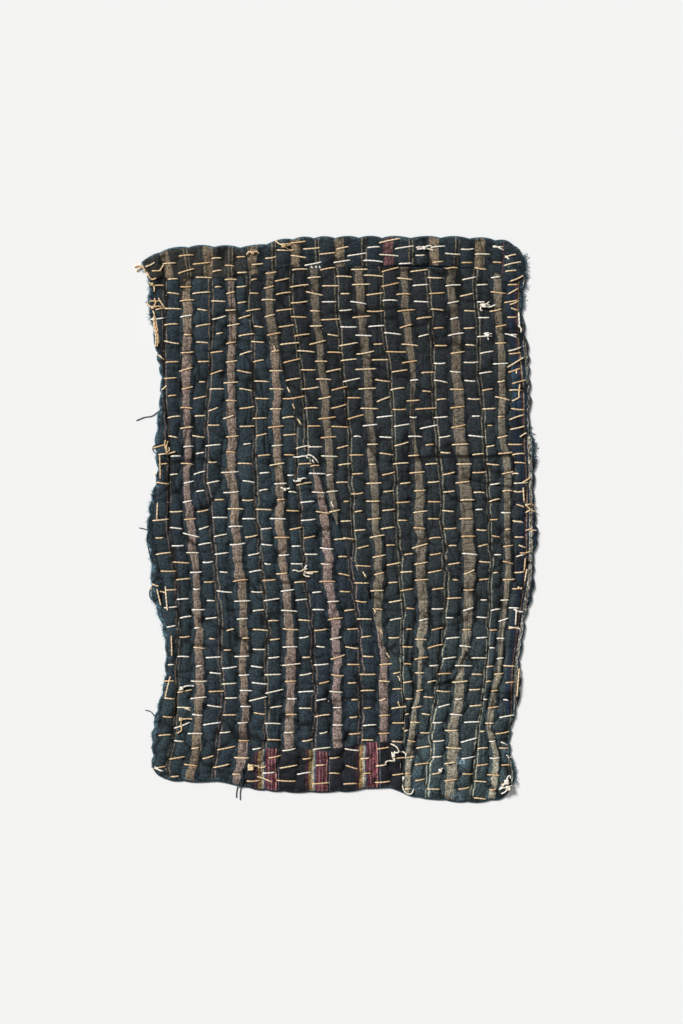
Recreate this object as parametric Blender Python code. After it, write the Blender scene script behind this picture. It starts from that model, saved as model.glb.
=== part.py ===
"""A patched and quilted rag of worn striped cotton, lying flat.

Two striped cloths meet on a diagonal seam. A band covers the top edge, a narrow strip the right
edge, and a patch the middle of the foot. All of them are stitched through to one backing cloth,
and the rows of running stitches pinch the face into ribs of small puffs.

The frame is in metres, +Z up: +X to the right and +Y to the top of the cloth, with the origin
under the middle of the flat underside. The tables and sizes below are in millimetres.
"""
import bmesh
import bpy
from mathutils import Vector, noise

MM = 0.001

# Driving sizes
GAP = 0.3                 # left between two pieces that touch
BACKING_THICKNESS = 1.4
RIM_STEPS = 32            # points of the backing's outline on each of its four sides
FACE_BOTTOM = BACKING_THICKNESS + GAP
BACKING_REVEAL = 1.2      # how far the backing peeps out past the cloths on it
HALF_WIDTH = 178.0        # half of the rag's widest and longest measures
HALF_LENGTH = 254.3

RIBS = 25                 # ribs of puffed cloth side by side across the width
PUFF_ROWS = 66            # half-steps of the brick pattern of puffs down the length
EDGE_TOP = 2.5            # height of the worn outer edge
FURROW_TOP = 2.7          # height of the furrow where stitches go down
PINCH_TOP = 3.4           # height of a rib under a stitch
PUFF_TOP = 4.5            # height of a rib between two stitches
UNEVENNESS = 0.9          # how far the face rises and sinks over a hand's breadth
UNEVEN_REACH = 55.0       # size of those rises

TUCK_LEVEL = 56.0         # a pinched crease that runs across the right cloth
TUCK_LEFT = 66.0
TUCK_RIGHT = 152.0
TUCK_HALF_WIDTH = 5.0
TUCK_DEPTH = 0.7

BAND_LIFT = 0.5           # the sewn-on pieces stand this far over the cloths
STRIP_LIFT = 0.3
PATCH_LIFT = 0.4

# The two long sides: y, left x, right x
SIDES = (
    (232.0, -178.2, 166.5),
    (216.0, -171.0, 167.5),
    (194.0, -171.0, 164.0),
    (172.0, -167.5, 166.5),
    (151.0, -164.0, 170.0),
    (129.0, -160.0, 170.5),
    (107.0, -161.0, 172.0),
    (86.0, -163.5, 170.5),
    (64.0, -165.0, 175.5),
    (43.0, -163.0, 175.5),
    (21.0, -168.0, 174.5),
    (0.0, -171.5, 176.5),
    (-18.0, -172.0, 178.2),
    (-34.0, -169.0, 174.5),
    (-54.0, -168.5, 175.0),
    (-72.0, -167.5, 172.5),
    (-87.0, -161.0, 167.5),
    (-108.0, -156.5, 165.5),
    (-130.0, -155.5, 162.0),
    (-151.0, -157.5, 163.0),
    (-173.0, -164.0, 158.5),
    (-195.0, -167.5, 153.5),
    (-209.0, -167.5, 153.5),
    (-226.0, -168.5, 159.5),
)

# The two short ends: share of the width from the left, top y, bottom y
ENDS = (
    (0.0, 230.0, -221.0),
    (0.015, 234.0, -229.0),
    (0.045, 240.0, -233.5),
    (0.1, 244.5, -235.5),
    (0.2, 246.0, -236.0),
    (0.28, 245.0, -242.0),
    (0.39, 252.0, -245.0),
    (0.52, 254.3, -244.5),
    (0.68, 254.0, -244.0),
    (0.71, 254.0, -248.5),
    (0.78, 254.3, -251.5),
    (0.87, 253.5, -254.3),
    (0.93, 252.0, -252.5),
    (0.965, 249.0, -249.0),
    (0.985, 243.5, -241.5),
    (1.0, 232.0, -230.0),
)

# The seams, as x, y
DIAGONAL_SEAM = (
    (-88.0, 262.0),
    (-84.5, 220.0),
    (-80.0, 191.5),
    (-67.5, 169.0),
    (-57.5, 152.5),
    (-47.0, 118.5),
    (-36.0, 88.5),
    (-29.5, 58.0),
    (-17.0, 35.5),
    (-5.5, 7.0),
    (5.5, -23.0),
    (19.0, -50.0),
    (29.5, -79.5),
    (37.0, -108.5),
    (44.0, -131.0),
    (52.0, -153.5),
    (56.0, -185.0),
    (55.5, -203.0),
    (55.5, -262.0),
)

BAND_SEAM = (
    (-190.0, 215.5),
    (-156.5, 216.5),
    (-93.5, 218.0),
    (-64.0, 223.0),
    (-41.5, 227.0),
    (-3.5, 227.0),
    (55.0, 229.0),
    (100.0, 228.0),
    (122.5, 225.5),
    (147.5, 220.0),
    (190.0, 216.0),
)

STRIP_SEAM = (
    (150.0, 262.0),
    (150.0, 220.0),
    (154.0, 157.0),
    (156.5, 107.5),
    (157.5, 62.5),
    (163.0, 31.0),
    (163.0, -1.5),
    (161.0, -36.5),
    (161.0, -63.5),
    (156.5, -86.0),
    (154.0, -113.0),
    (152.0, -135.5),
    (149.5, -162.5),
    (151.0, -174.0),
    (190.0, -178.0),
)

PATCH_SEAM = (
    (-85.5, -262.0),
    (-85.0, -236.0),
    (-83.0, -218.0),
    (-76.5, -210.0),
    (-64.0, -205.5),
    (-47.5, -206.5),
    (-38.5, -204.0),
    (-18.0, -208.5),
    (-8.0, -209.0),
    (-5.5, -205.5),
    (9.0, -204.5),
    (25.0, -201.0),
    (46.0, -199.5),
    (54.0, -204.0),
    (55.5, -212.0),
    (55.5, -262.0),
)

BEYOND = 300.0            # cutters reach this far past the cloth
CUTTER_BOTTOM = -10.0
CUTTER_TOP = 20.0
WELD = 0.01               # points closer than this are one


def lookup(table, key, column):
    """Smooth value of a table's column at a key of its first column, which may rise or fall."""
    rising = table[-1][0] > table[0][0]
    rows = table if rising else table[::-1]
    key = min(max(key, rows[0][0]), rows[-1][0])
    below = max(index for index in range(len(rows) - 1) if rows[index][0] <= key)
    share = (key - rows[below][0]) / (rows[below + 1][0] - rows[below][0])
    eased = share * share * (3 - 2 * share)
    return rows[below][column] + (rows[below + 1][column] - rows[below][column]) * eased


def place_on_cloth(across, down):
    """Point of the cloth at shares 0 to 1 of its width from the left and its length from the top."""
    left_y = ENDS[0][1] + (ENDS[0][2] - ENDS[0][1]) * down
    right_y = ENDS[-1][1] + (ENDS[-1][2] - ENDS[-1][1]) * down
    left = lookup(SIDES, left_y, 1)
    right = lookup(SIDES, right_y, 2)
    top = lookup(ENDS, across, 1)
    bottom = lookup(ENDS, across, 2)
    return left + (right - left) * across, top + (bottom - top) * down


def quilted_height(column, row, x, y):
    """Height of the quilted face: ribs between furrows, pinched by stitches in brick order."""
    if column in (0, 2 * RIBS) or row in (0, PUFF_ROWS):
        return EDGE_TOP
    height = FURROW_TOP
    if column % 2:
        puffed = (column // 2 + row) % 2 == 0
        height = PUFF_TOP if puffed else PINCH_TOP
    height += UNEVENNESS * noise.noise(Vector((x, y, 0)) / UNEVEN_REACH)
    if TUCK_LEFT < x < TUCK_RIGHT and abs(y - TUCK_LEVEL) < TUCK_HALF_WIDTH:
        height -= TUCK_DEPTH
    return max(height, EDGE_TOP)


def new_collection(name):
    collection = bpy.data.collections.new(name)
    bpy.context.scene.collection.children.link(collection)
    return collection


def prism(name, outline, bottom, top, collection):
    """Solid of a flat outline between two heights."""
    curve = bpy.data.curves.new(name, "CURVE")
    curve.dimensions = "2D"
    curve.fill_mode = "BOTH"
    curve.extrude = (top - bottom) / 2 * MM
    spline = curve.splines.new("POLY")
    spline.points.add(len(outline) - 1)
    for point, (x, y) in zip(spline.points, outline):
        point.co = (x * MM, y * MM, 0, 1)
    spline.use_cyclic_u = True
    flat = bpy.data.objects.new(name + "_outline", curve)
    flat.location.z = (bottom + top) / 2 * MM
    bpy.context.scene.collection.objects.link(flat)
    bpy.context.view_layer.update()
    graph = bpy.context.evaluated_depsgraph_get()
    mesh = bpy.data.meshes.new_from_object(flat.evaluated_get(graph))
    points = bmesh.new()
    points.from_mesh(mesh)
    bmesh.ops.remove_doubles(points, verts=points.verts, dist=WELD * MM)
    bmesh.ops.recalc_face_normals(points, faces=points.faces)
    points.to_mesh(mesh)
    points.free()
    solid = bpy.data.objects.new(name, mesh)
    solid.matrix_world = flat.matrix_world
    collection.objects.link(solid)
    bpy.data.objects.remove(flat)
    return solid


def shifted(line, distance):
    """A line moved sideways, to its left as one goes along it, with its corners mitred."""
    points = [Vector(point) for point in line]
    lefts = []
    for start, end in zip(points, points[1:]):
        along = (end - start).normalized()
        lefts.append(Vector((-along.y, along.x)))
    moved = []
    for index, point in enumerate(points):
        left_before = lefts[max(index - 1, 0)]
        left_after = lefts[min(index, len(lefts) - 1)]
        mitre = (left_before + left_after).normalized()
        moved.append(tuple(point + mitre * distance / mitre.dot(left_after)))
    return moved


def cutter(name, seam, side, corners):
    """Solid that takes away what lies on one side of a seam, and half of the gap."""
    outline = shifted(seam, side * GAP / 2) + list(corners)
    solid = prism(name, outline, CUTTER_BOTTOM, CUTTER_TOP, cutters)
    solid.hide_render = True
    solid.display_type = "WIRE"
    return solid


def quilted_sheet(name, lift):
    """The whole quilted face as one solid: a flat underside and ribs of puffs on top."""
    mesh = bpy.data.meshes.new(name)
    sheet = bmesh.new()
    bmesh.ops.create_grid(sheet, x_segments=2 * RIBS, y_segments=PUFF_ROWS, size=1)
    for vert in sheet.verts:
        across = (vert.co.x + 1) / 2
        down = (1 - vert.co.y) / 2
        column = round(across * 2 * RIBS)
        row = round(down * PUFF_ROWS)
        x, y = place_on_cloth(across, down)
        inset_x = x * (1 - BACKING_REVEAL / HALF_WIDTH)
        inset_y = y * (1 - BACKING_REVEAL / HALF_LENGTH)
        height = quilted_height(column, row, x, y) + lift
        vert.co = Vector((inset_x, inset_y, height)) * MM
    rim = [edge for edge in sheet.edges if edge.is_boundary]
    walls = bmesh.ops.extrude_edge_only(sheet, edges=rim)["geom"]
    for vert in (item for item in walls if isinstance(item, bmesh.types.BMVert)):
        vert.co.z = FACE_BOTTOM * MM
    rim = [edge for edge in sheet.edges if edge.is_boundary]
    bmesh.ops.contextual_create(sheet, geom=rim)
    bmesh.ops.recalc_face_normals(sheet, faces=sheet.faces)
    sheet.to_mesh(mesh)
    sheet.free()
    piece = bpy.data.objects.new(name, mesh)
    cloth.objects.link(piece)
    return piece


def cut(piece, solid, operation="DIFFERENCE"):
    modifier = piece.modifiers.new(solid.name, "BOOLEAN")
    modifier.operation = operation
    modifier.solver = "EXACT"
    modifier.object = solid


def finish(piece, colour, roughness):
    """Give a piece its own plain cotton."""
    material = bpy.data.materials.new(piece.name)
    material.use_nodes = True
    shader = material.node_tree.nodes["Principled BSDF"]
    shader.inputs["Base Color"].default_value = (*colour, 1)
    shader.inputs["Roughness"].default_value = roughness
    shader.inputs["Metallic"].default_value = 0
    piece.data.materials.clear()
    piece.data.materials.append(material)


for old in list(bpy.data.objects):
    bpy.data.objects.remove(old)
cloth = new_collection("patched_cloth")
cutters = new_collection("cutters")

# Each seam has two cutters, one for each side, half a gap to either side of it.
# The diagonal seam runs down, the band seam to the right, the strip seam down, and the patch
# seam up, across and down again.
right_far = ((BEYOND, -BEYOND), (BEYOND, BEYOND))
left_far = ((-BEYOND, -BEYOND), (-BEYOND, BEYOND))
above = ((BEYOND, BEYOND), (-BEYOND, BEYOND))
right_of_diagonal = cutter("right_of_diagonal", DIAGONAL_SEAM, -1, right_far)
left_of_diagonal = cutter("left_of_diagonal", DIAGONAL_SEAM, 1, left_far)
under_the_band = cutter("under_the_band", BAND_SEAM, -1, above)
band_shape = cutter("band_shape", BAND_SEAM, 1, above)
under_the_strip = cutter("under_the_strip", STRIP_SEAM, -1, ((BEYOND, BEYOND),))
strip_shape = cutter("strip_shape", STRIP_SEAM, 1, ((BEYOND, BEYOND),))
under_the_patch = cutter("under_the_patch", PATCH_SEAM, 1, ())
patch_shape = cutter("patch_shape", PATCH_SEAM, -1, ())

# The backing: one flat rag under everything
shares = [step / RIM_STEPS for step in range(RIM_STEPS)]
rim_points = [place_on_cloth(share, 0) for share in shares]
rim_points += [place_on_cloth(1, share) for share in shares]
rim_points += [place_on_cloth(1 - share, 1) for share in shares]
rim_points += [place_on_cloth(0, 1 - share) for share in shares]
backing = prism("backing_cloth", rim_points, 0, BACKING_THICKNESS, cloth)
finish(backing, (0.016, 0.032, 0.046), 0.95)

# The left cloth: bluish indigo, from the left edge to the diagonal seam
left_cloth = quilted_sheet("left_cloth", 0)
cut(left_cloth, right_of_diagonal)
cut(left_cloth, under_the_band)
cut(left_cloth, under_the_patch)
finish(left_cloth, (0.018, 0.033, 0.045), 0.92)

# The right cloth: greyer, from the diagonal seam to the strip
right_cloth = quilted_sheet("right_cloth", 0)
cut(right_cloth, left_of_diagonal)
cut(right_cloth, under_the_band)
cut(right_cloth, under_the_strip)
cut(right_cloth, under_the_patch)
finish(right_cloth, (0.021, 0.027, 0.031), 0.92)

# The band along the top
top_band = quilted_sheet("top_band", BAND_LIFT)
cut(top_band, band_shape, "INTERSECT")
finish(top_band, (0.013, 0.014, 0.014), 0.92)

# The narrow strip down the right edge
edge_strip = quilted_sheet("right_edge_strip", STRIP_LIFT)
cut(edge_strip, strip_shape, "INTERSECT")
cut(edge_strip, under_the_band)
finish(edge_strip, (0.011, 0.02, 0.033), 0.92)

# The patch at the middle of the foot
patch = quilted_sheet("bottom_patch", PATCH_LIFT)
cut(patch, patch_shape, "INTERSECT")
finish(patch, (0.012, 0.011, 0.014), 0.9)
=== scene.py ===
import math

import bpy
import numpy as np
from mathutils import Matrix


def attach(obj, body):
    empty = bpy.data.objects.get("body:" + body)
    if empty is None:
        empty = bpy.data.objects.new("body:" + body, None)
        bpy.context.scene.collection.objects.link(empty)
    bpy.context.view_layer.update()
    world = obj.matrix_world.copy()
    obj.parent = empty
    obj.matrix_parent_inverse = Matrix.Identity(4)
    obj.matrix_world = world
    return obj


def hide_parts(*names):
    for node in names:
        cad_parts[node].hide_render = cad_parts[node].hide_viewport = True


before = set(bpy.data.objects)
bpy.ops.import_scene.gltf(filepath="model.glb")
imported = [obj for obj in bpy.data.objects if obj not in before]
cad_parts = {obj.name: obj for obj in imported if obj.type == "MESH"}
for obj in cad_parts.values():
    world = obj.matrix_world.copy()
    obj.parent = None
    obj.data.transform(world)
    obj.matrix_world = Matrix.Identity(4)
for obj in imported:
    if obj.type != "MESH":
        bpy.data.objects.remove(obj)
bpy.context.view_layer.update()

# The left cloth
# Narrow-loom cotton woven from bluish indigo yarn with wide pinkish-brown stripes and twin thin lines,
# from the worn left edge to the diagonal seam. The running stitches draw it down to the backing, and
# between them it stands up in ribs of small puffs.
MM = 0.001                # all sizes are in mm: x to the right, y to the top of the rag, z upward
SIDES = (  # y, left edge, right edge
    (232.0, -178.2, 166.5), (216.0, -171.0, 167.5), (194.0, -171.0, 164.0), (172.0, -167.5, 166.5),
    (151.0, -164.0, 170.0), (129.0, -160.0, 170.5), (107.0, -161.0, 172.0), (86.0, -163.5, 170.5),
    (64.0, -165.0, 175.5), (43.0, -163.0, 175.5), (21.0, -168.0, 174.5), (0.0, -171.5, 176.5),
    (-18.0, -172.0, 178.2), (-34.0, -169.0, 174.5), (-54.0, -168.5, 175.0), (-72.0, -167.5, 172.5),
    (-87.0, -161.0, 167.5), (-108.0, -156.5, 165.5), (-130.0, -155.5, 162.0), (-151.0, -157.5, 163.0),
    (-173.0, -164.0, 158.5), (-195.0, -167.5, 153.5), (-209.0, -167.5, 153.5), (-230.0, -168.5, 159.5),
)
TOP_END = (  # x, y
    (-178.2, 230.5), (-172.0, 234.5), (-163.0, 240.0), (-144.0, 244.5), (-109.0, 246.0),
    (-82.0, 245.5), (-44.0, 252.5), (1.0, 254.0), (73.0, 254.0), (104.0, 254.0), (126.0, 253.0),
    (142.5, 251.5), (154.5, 248.5), (161.5, 243.0), (166.5, 232.0),
)
BOTTOM_END = (  # x, y
    (-168.5, -221.0), (-163.5, -229.0), (-153.5, -233.5), (-135.5, -235.5), (-103.0, -236.5),
    (-77.0, -242.0), (-40.5, -245.0), (2.0, -244.5), (54.5, -244.0), (64.5, -248.5), (87.5, -251.5),
    (117.0, -254.0), (136.5, -252.5), (148.0, -249.0), (154.5, -241.5), (159.5, -230.0),
)
CELL = 0.5                # of the rasters that hold how the rag lies
RASTER_HALF = (186, 262)  # half the rasters' width and height
BACKING_TOP = 1.45        # height of the backing under the cloths
CLOUD_CELLS = 128         # random values each way in a field of cloudy waves
ROW_PITCH = (             # y, distance between two rows of stitches
    (-254.0, 7.1), (-214.0, 7.4), (-149.0, 7.8), (-86.0, 8.4), (-23.0, 8.0), (40.0, 8.4), (103.0, 8.5),
    (166.0, 7.7), (220.0, 6.7), (254.0, 6.5),
)
SCALLOP_PITCH = 15.5      # of the small bows of an edge
SCALLOP_DRIFT = 0.4       # how far the bows stray, in pitches
DRIFT_SIZE = (31, 31)
SCALLOP_DEPTH = 1.9
SCALLOP_CURVE = 0.7       # under 1, so each bow is full and the pinch between two is sharp
SCALLOP_MIDDLE = 0.75     # share of the depth that lies inside the measured edge
END_STRETCH = 0.7         # at the two ends the bows are longer
TOP_SCALLOPS = 1.1
BOTTOM_SCALLOPS = 0.6
RIPPLE = 0.4              # fine unevenness of the two long edges
RIPPLE_SIZE = (4, 4)
RIM_NEIGHBOURS = (1, 2, 3, 4)       # points each way along a rim that give its direction
BAKE_FACE = 0.93          # share of the baked picture that shows the sheet's face
BAKE_CORNER = (0.005, 0.065)
BAKE_RIM = 0.004          # where the strips of the turned edge begin below it
BAKE_STRIP = 0.009


def curve_through(rows, column, at):
    """Smooth curve through one column of a table, read at values of the table's first column."""
    table = np.array(sorted(rows))
    keys, values = table[:, 0], table[:, column]
    slopes = np.gradient(values, keys)
    at = np.clip(at, keys[0], keys[-1])
    low = np.clip(np.searchsorted(keys, at) - 1, 0, len(keys) - 2)
    span = keys[low + 1] - keys[low]
    t = (at - keys[low]) / span
    ease = t * t * (3 - 2 * t)
    swing = slopes[low] * t * (1 - t) ** 2 - slopes[low + 1] * t * t * (1 - t)
    return values[low] * (1 - ease) + values[low + 1] * ease + swing * span


def between(low, high, value):
    """Soft step from 0 at low to 1 at high."""
    t = np.clip((value - low) / (high - low), 0, 1)
    return t * t * (3 - 2 * t)


def cloudy(x, y, size, seed):
    """Smooth random waves from -1 to 1, of a size in x and in y."""
    lattice = np.random.default_rng(seed).uniform(-1, 1, (CLOUD_CELLS, CLOUD_CELLS))
    across, up = np.broadcast_arrays(x / size[0], y / size[1])
    column, row = np.floor(across).astype(int), np.floor(up).astype(int)
    s, t = between(0, 1, across - column), between(0, 1, up - row)
    left, right = column % CLOUD_CELLS, (column + 1) % CLOUD_CELLS
    low, high = row % CLOUD_CELLS, (row + 1) % CLOUD_CELLS
    lower = lattice[low, left] * (1 - s) + lattice[low, right] * s
    upper = lattice[high, left] * (1 - s) + lattice[high, right] * s
    return lower * (1 - t) + upper * t


def scallops(along, seed):
    """Small bows of an edge between the stitches that pinch it."""
    phase = along / SCALLOP_PITCH + SCALLOP_DRIFT * cloudy(along, 0 * along, DRIFT_SIZE, seed)
    return SCALLOP_DEPTH * (np.abs(np.sin(math.pi * phase)) ** SCALLOP_CURVE - SCALLOP_MIDDLE)


def left_edge(y):
    return curve_through(SIDES, 1, y) - scallops(y, 11) + RIPPLE * cloudy(y, 0 * y, RIPPLE_SIZE, 12)


def right_edge(y):
    return curve_through(SIDES, 2, y) + scallops(y, 13) + RIPPLE * cloudy(y, 0 * y, RIPPLE_SIZE, 14)


def top_edge(x):
    return curve_through(TOP_END, 1, x) + TOP_SCALLOPS * scallops(x * END_STRETCH, 15)


def bottom_edge(x):
    return curve_through(BOTTOM_END, 1, x) - BOTTOM_SCALLOPS * scallops(x * END_STRETCH, 16)


def line_of(x, y):
    """A line of points from their x and their y."""
    return np.stack([x, y], axis=1)


def spaced(line, count):
    """A line of points again, evenly spaced along it."""
    line = np.asarray(line, float)
    run = np.concatenate([[0], np.cumsum(np.hypot(*np.diff(line, axis=0).T))])
    at = np.linspace(0, run[-1], count)
    return line_of(np.interp(at, run, line[:, 0]), np.interp(at, run, line[:, 1]))


def spread(top, bottom, left, right, columns, rows):
    """Grid of points between the four edges of a cloth, rows from the top down."""
    top, bottom = spaced(top, columns)[None], spaced(bottom, columns)[None]
    left, right = spaced(left, rows)[:, None], spaced(right, rows)[:, None]
    s = np.linspace(0, 1, columns)[None, :, None]
    t = np.linspace(0, 1, rows)[:, None, None]
    corners = (top[:, :1] * (1 - s) + top[:, -1:] * s) * (1 - t)
    corners = corners + (bottom[:, :1] * (1 - s) + bottom[:, -1:] * s) * t
    return top * (1 - t) + bottom * t + left * (1 - s) + right * s - corners


def round_the_edge(grid):
    """The outermost values of a grid, once round it clockwise."""
    return np.concatenate([grid[0, :-1], grid[:-1, -1], grid[-1, :0:-1], grid[:0:-1, 0]])


def cloth_object(name, flat, heights, threads, edge, marks, underside=False):
    """A sheet over a flat grid of points, its edge turned over through the given steps, with its
    thread coordinates, how worn and faded it is, and the shade and dust painted on it at each point."""
    rows, columns = flat.shape[:2]
    points = np.concatenate([flat, heights[..., None]], axis=-1)
    number = np.arange(rows * columns).reshape(rows, columns)
    corners = (number[:-1, :-1], number[1:, :-1], number[1:, 1:], number[:-1, 1:])
    quads = [np.stack(corners, axis=-1).reshape(-1, 4)]
    longest = max(rows, columns)
    bake = np.stack(np.meshgrid(np.arange(columns) / longest, np.arange(rows) / longest), axis=-1)
    all_points, all_threads = [points.reshape(-1, 3)], [threads.reshape(-1, 2)]
    all_marks = {layer: [values.ravel()] for layer, values in marks.items()}
    bakes = [bake.reshape(-1, 2)[quads[0].ravel()] * BAKE_FACE + BAKE_CORNER]
    rim = round_the_edge(points)
    along = sum(np.roll(rim, -step, axis=0) - np.roll(rim, step, axis=0) for step in RIM_NEIGHBOURS)
    out = line_of(-along[:, 1], along[:, 0])
    out /= np.linalg.norm(out, axis=1, keepdims=True)
    inner, count = round_the_edge(number), len(rim)
    run, before = 0, (0, 0)
    for step, (outward, height) in enumerate(edge):
        run += math.hypot(outward - before[0], height - before[1])
        before = (outward, height)
        ring = rim.copy()
        ring[:, :2] += out * outward
        ring[:, 2] = height if underside else np.maximum(rim[:, 2] + height, BACKING_TOP)
        outer = np.arange(count) + sum(len(part) for part in all_points)
        quads.append(np.stack([inner, np.roll(inner, -1), np.roll(outer, -1), outer], axis=-1))
        inner = outer
        all_points.append(ring)
        all_threads.append(round_the_edge(threads) + out * run)
        for layer, values in marks.items():
            all_marks[layer].append(round_the_edge(values))
        place, low = np.arange(count) / count, BAKE_RIM + BAKE_STRIP * step
        ends = ((place, low), (place + 1 / count, low),
                (place + 1 / count, low + BAKE_STRIP), (place, low + BAKE_STRIP))
        strip = np.stack([line_of(u, np.full(count, v)) for u, v in ends], axis=1)
        bakes.append(strip.reshape(-1, 2))
    quads = np.concatenate(quads)
    bakes = np.concatenate(bakes)
    if underside:
        quads = quads[:, ::-1]
        bakes = bakes.reshape(-1, 4, 2)[:, ::-1].reshape(-1, 2)
    mesh = bpy.data.meshes.new(name)
    mesh.from_pydata((np.concatenate(all_points) * MM).tolist(), [], quads.tolist())
    mesh.shade_smooth()
    for layer, places in (("OFBake", bakes), ("weave", np.concatenate(all_threads)[quads.ravel()])):
        mesh.uv_layers.new(name=layer).data.foreach_set("uv", places.astype(np.float32).ravel())
    for layer, values in all_marks.items():
        attribute = mesh.attributes.new(layer, "FLOAT", "POINT")
        attribute.data.foreach_set("value", np.concatenate(values).astype(np.float32))
    piece = bpy.data.objects.new(name, mesh)
    bpy.context.scene.collection.objects.link(piece)
    return piece


def add_node(tree, kind, settings=(), inputs=()):
    """Adds a node, sets its properties, and sets or links its inputs."""
    node = tree.nodes.new(kind)
    for key, value in dict(settings).items():
        setattr(node, key, value)
    for key, value in dict(inputs).items():
        if isinstance(value, bpy.types.NodeSocket):
            tree.links.new(value, node.inputs[key])
        else:
            node.inputs[key].default_value = value
    return node


def maths(tree, operation, *values):
    """The result of one arithmetic node on sockets or numbers."""
    return add_node(tree, "ShaderNodeMath", {"operation": operation}, dict(enumerate(values))).outputs[0]


def ranged(tree, value, low, high, at_low=0, at_high=1, steps="LINEAR"):
    """A value that goes from one limit to the other as another one goes from low to high."""
    inputs = dict(enumerate((value, low, high, at_low, at_high)))
    return add_node(tree, "ShaderNodeMapRange", {"interpolation_type": steps}, inputs).outputs[0]


def linear(colour):
    """An sRGB hex colour as linear red, green, blue and alpha."""
    parts = [int(colour[place:place + 2], 16) / 255 for place in (1, 3, 5)]
    return [part / 12.92 if part <= 0.04045 else ((part + 0.055) / 1.055) ** 2.4 for part in parts] + [1]


def mixed_colour(tree, share, first, second):
    """Two colours mixed, each of them a hex colour or a socket."""
    first, second = (linear(each) if isinstance(each, str) else each for each in (first, second))
    return add_node(tree, "ShaderNodeMix", {"data_type": "RGBA"}, {0: share, 6: first, 7: second}).outputs[2]


def vector_maths(tree, operation, inputs):
    """The result of one node of vector arithmetic."""
    return add_node(tree, "ShaderNodeVectorMath", {"operation": operation}, inputs).outputs[0]


YARN_PAIR = 0.9           # width of two drawn yarns, about a third coarser than real, so that they show
WEAVE_RELIEF = 0.3        # of the yarns, beside that of the cloth's fine lumps
LUMPS = (0.8, 0.5, 3)     # each noise has its cells per mm across and along the warp, and its detail
STRAYING = (0.3, 0.16, 1)
STRAY = 1.1               # how far the edges of a stripe stray
FLECKS = (1.4, 0.22, 3)   # of a stripe's second colour
GROUND_YARNS = (1.7, 0.05, 1)
GROUND_IN_STRIPES = (0.56, 0.68)    # the noise from which a yarn of the ground shows in a stripe
GROUND_SHOWS = 0.5
STRIPE_BLUR = 0.3         # over which the colour of a stripe begins
TONE_START = -4.0         # the noises below average a half, so the tone is about 1
TONE_NOISES = (           # each with its share in the tone, last
    (1.1, 0.07, 2, 0.9), (0.07, 1.1, 2, 0.8), (0.045, 0.035, 3, 1.1), (0.8, 0.4, 3, 2.2),
    (0.4, 0.8, 3, 2.2), (0.66, 0.6, 2, 2.8),
)
DARKEST = 0.25
# brightness of the colour without painted shade, and how far the painted shade darkens it
UNSHADED_TONE = 1.08
SHADE_DARKENS = 0.9
NO_LIMIT = -999           # a thread coordinate below all stripes


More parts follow.
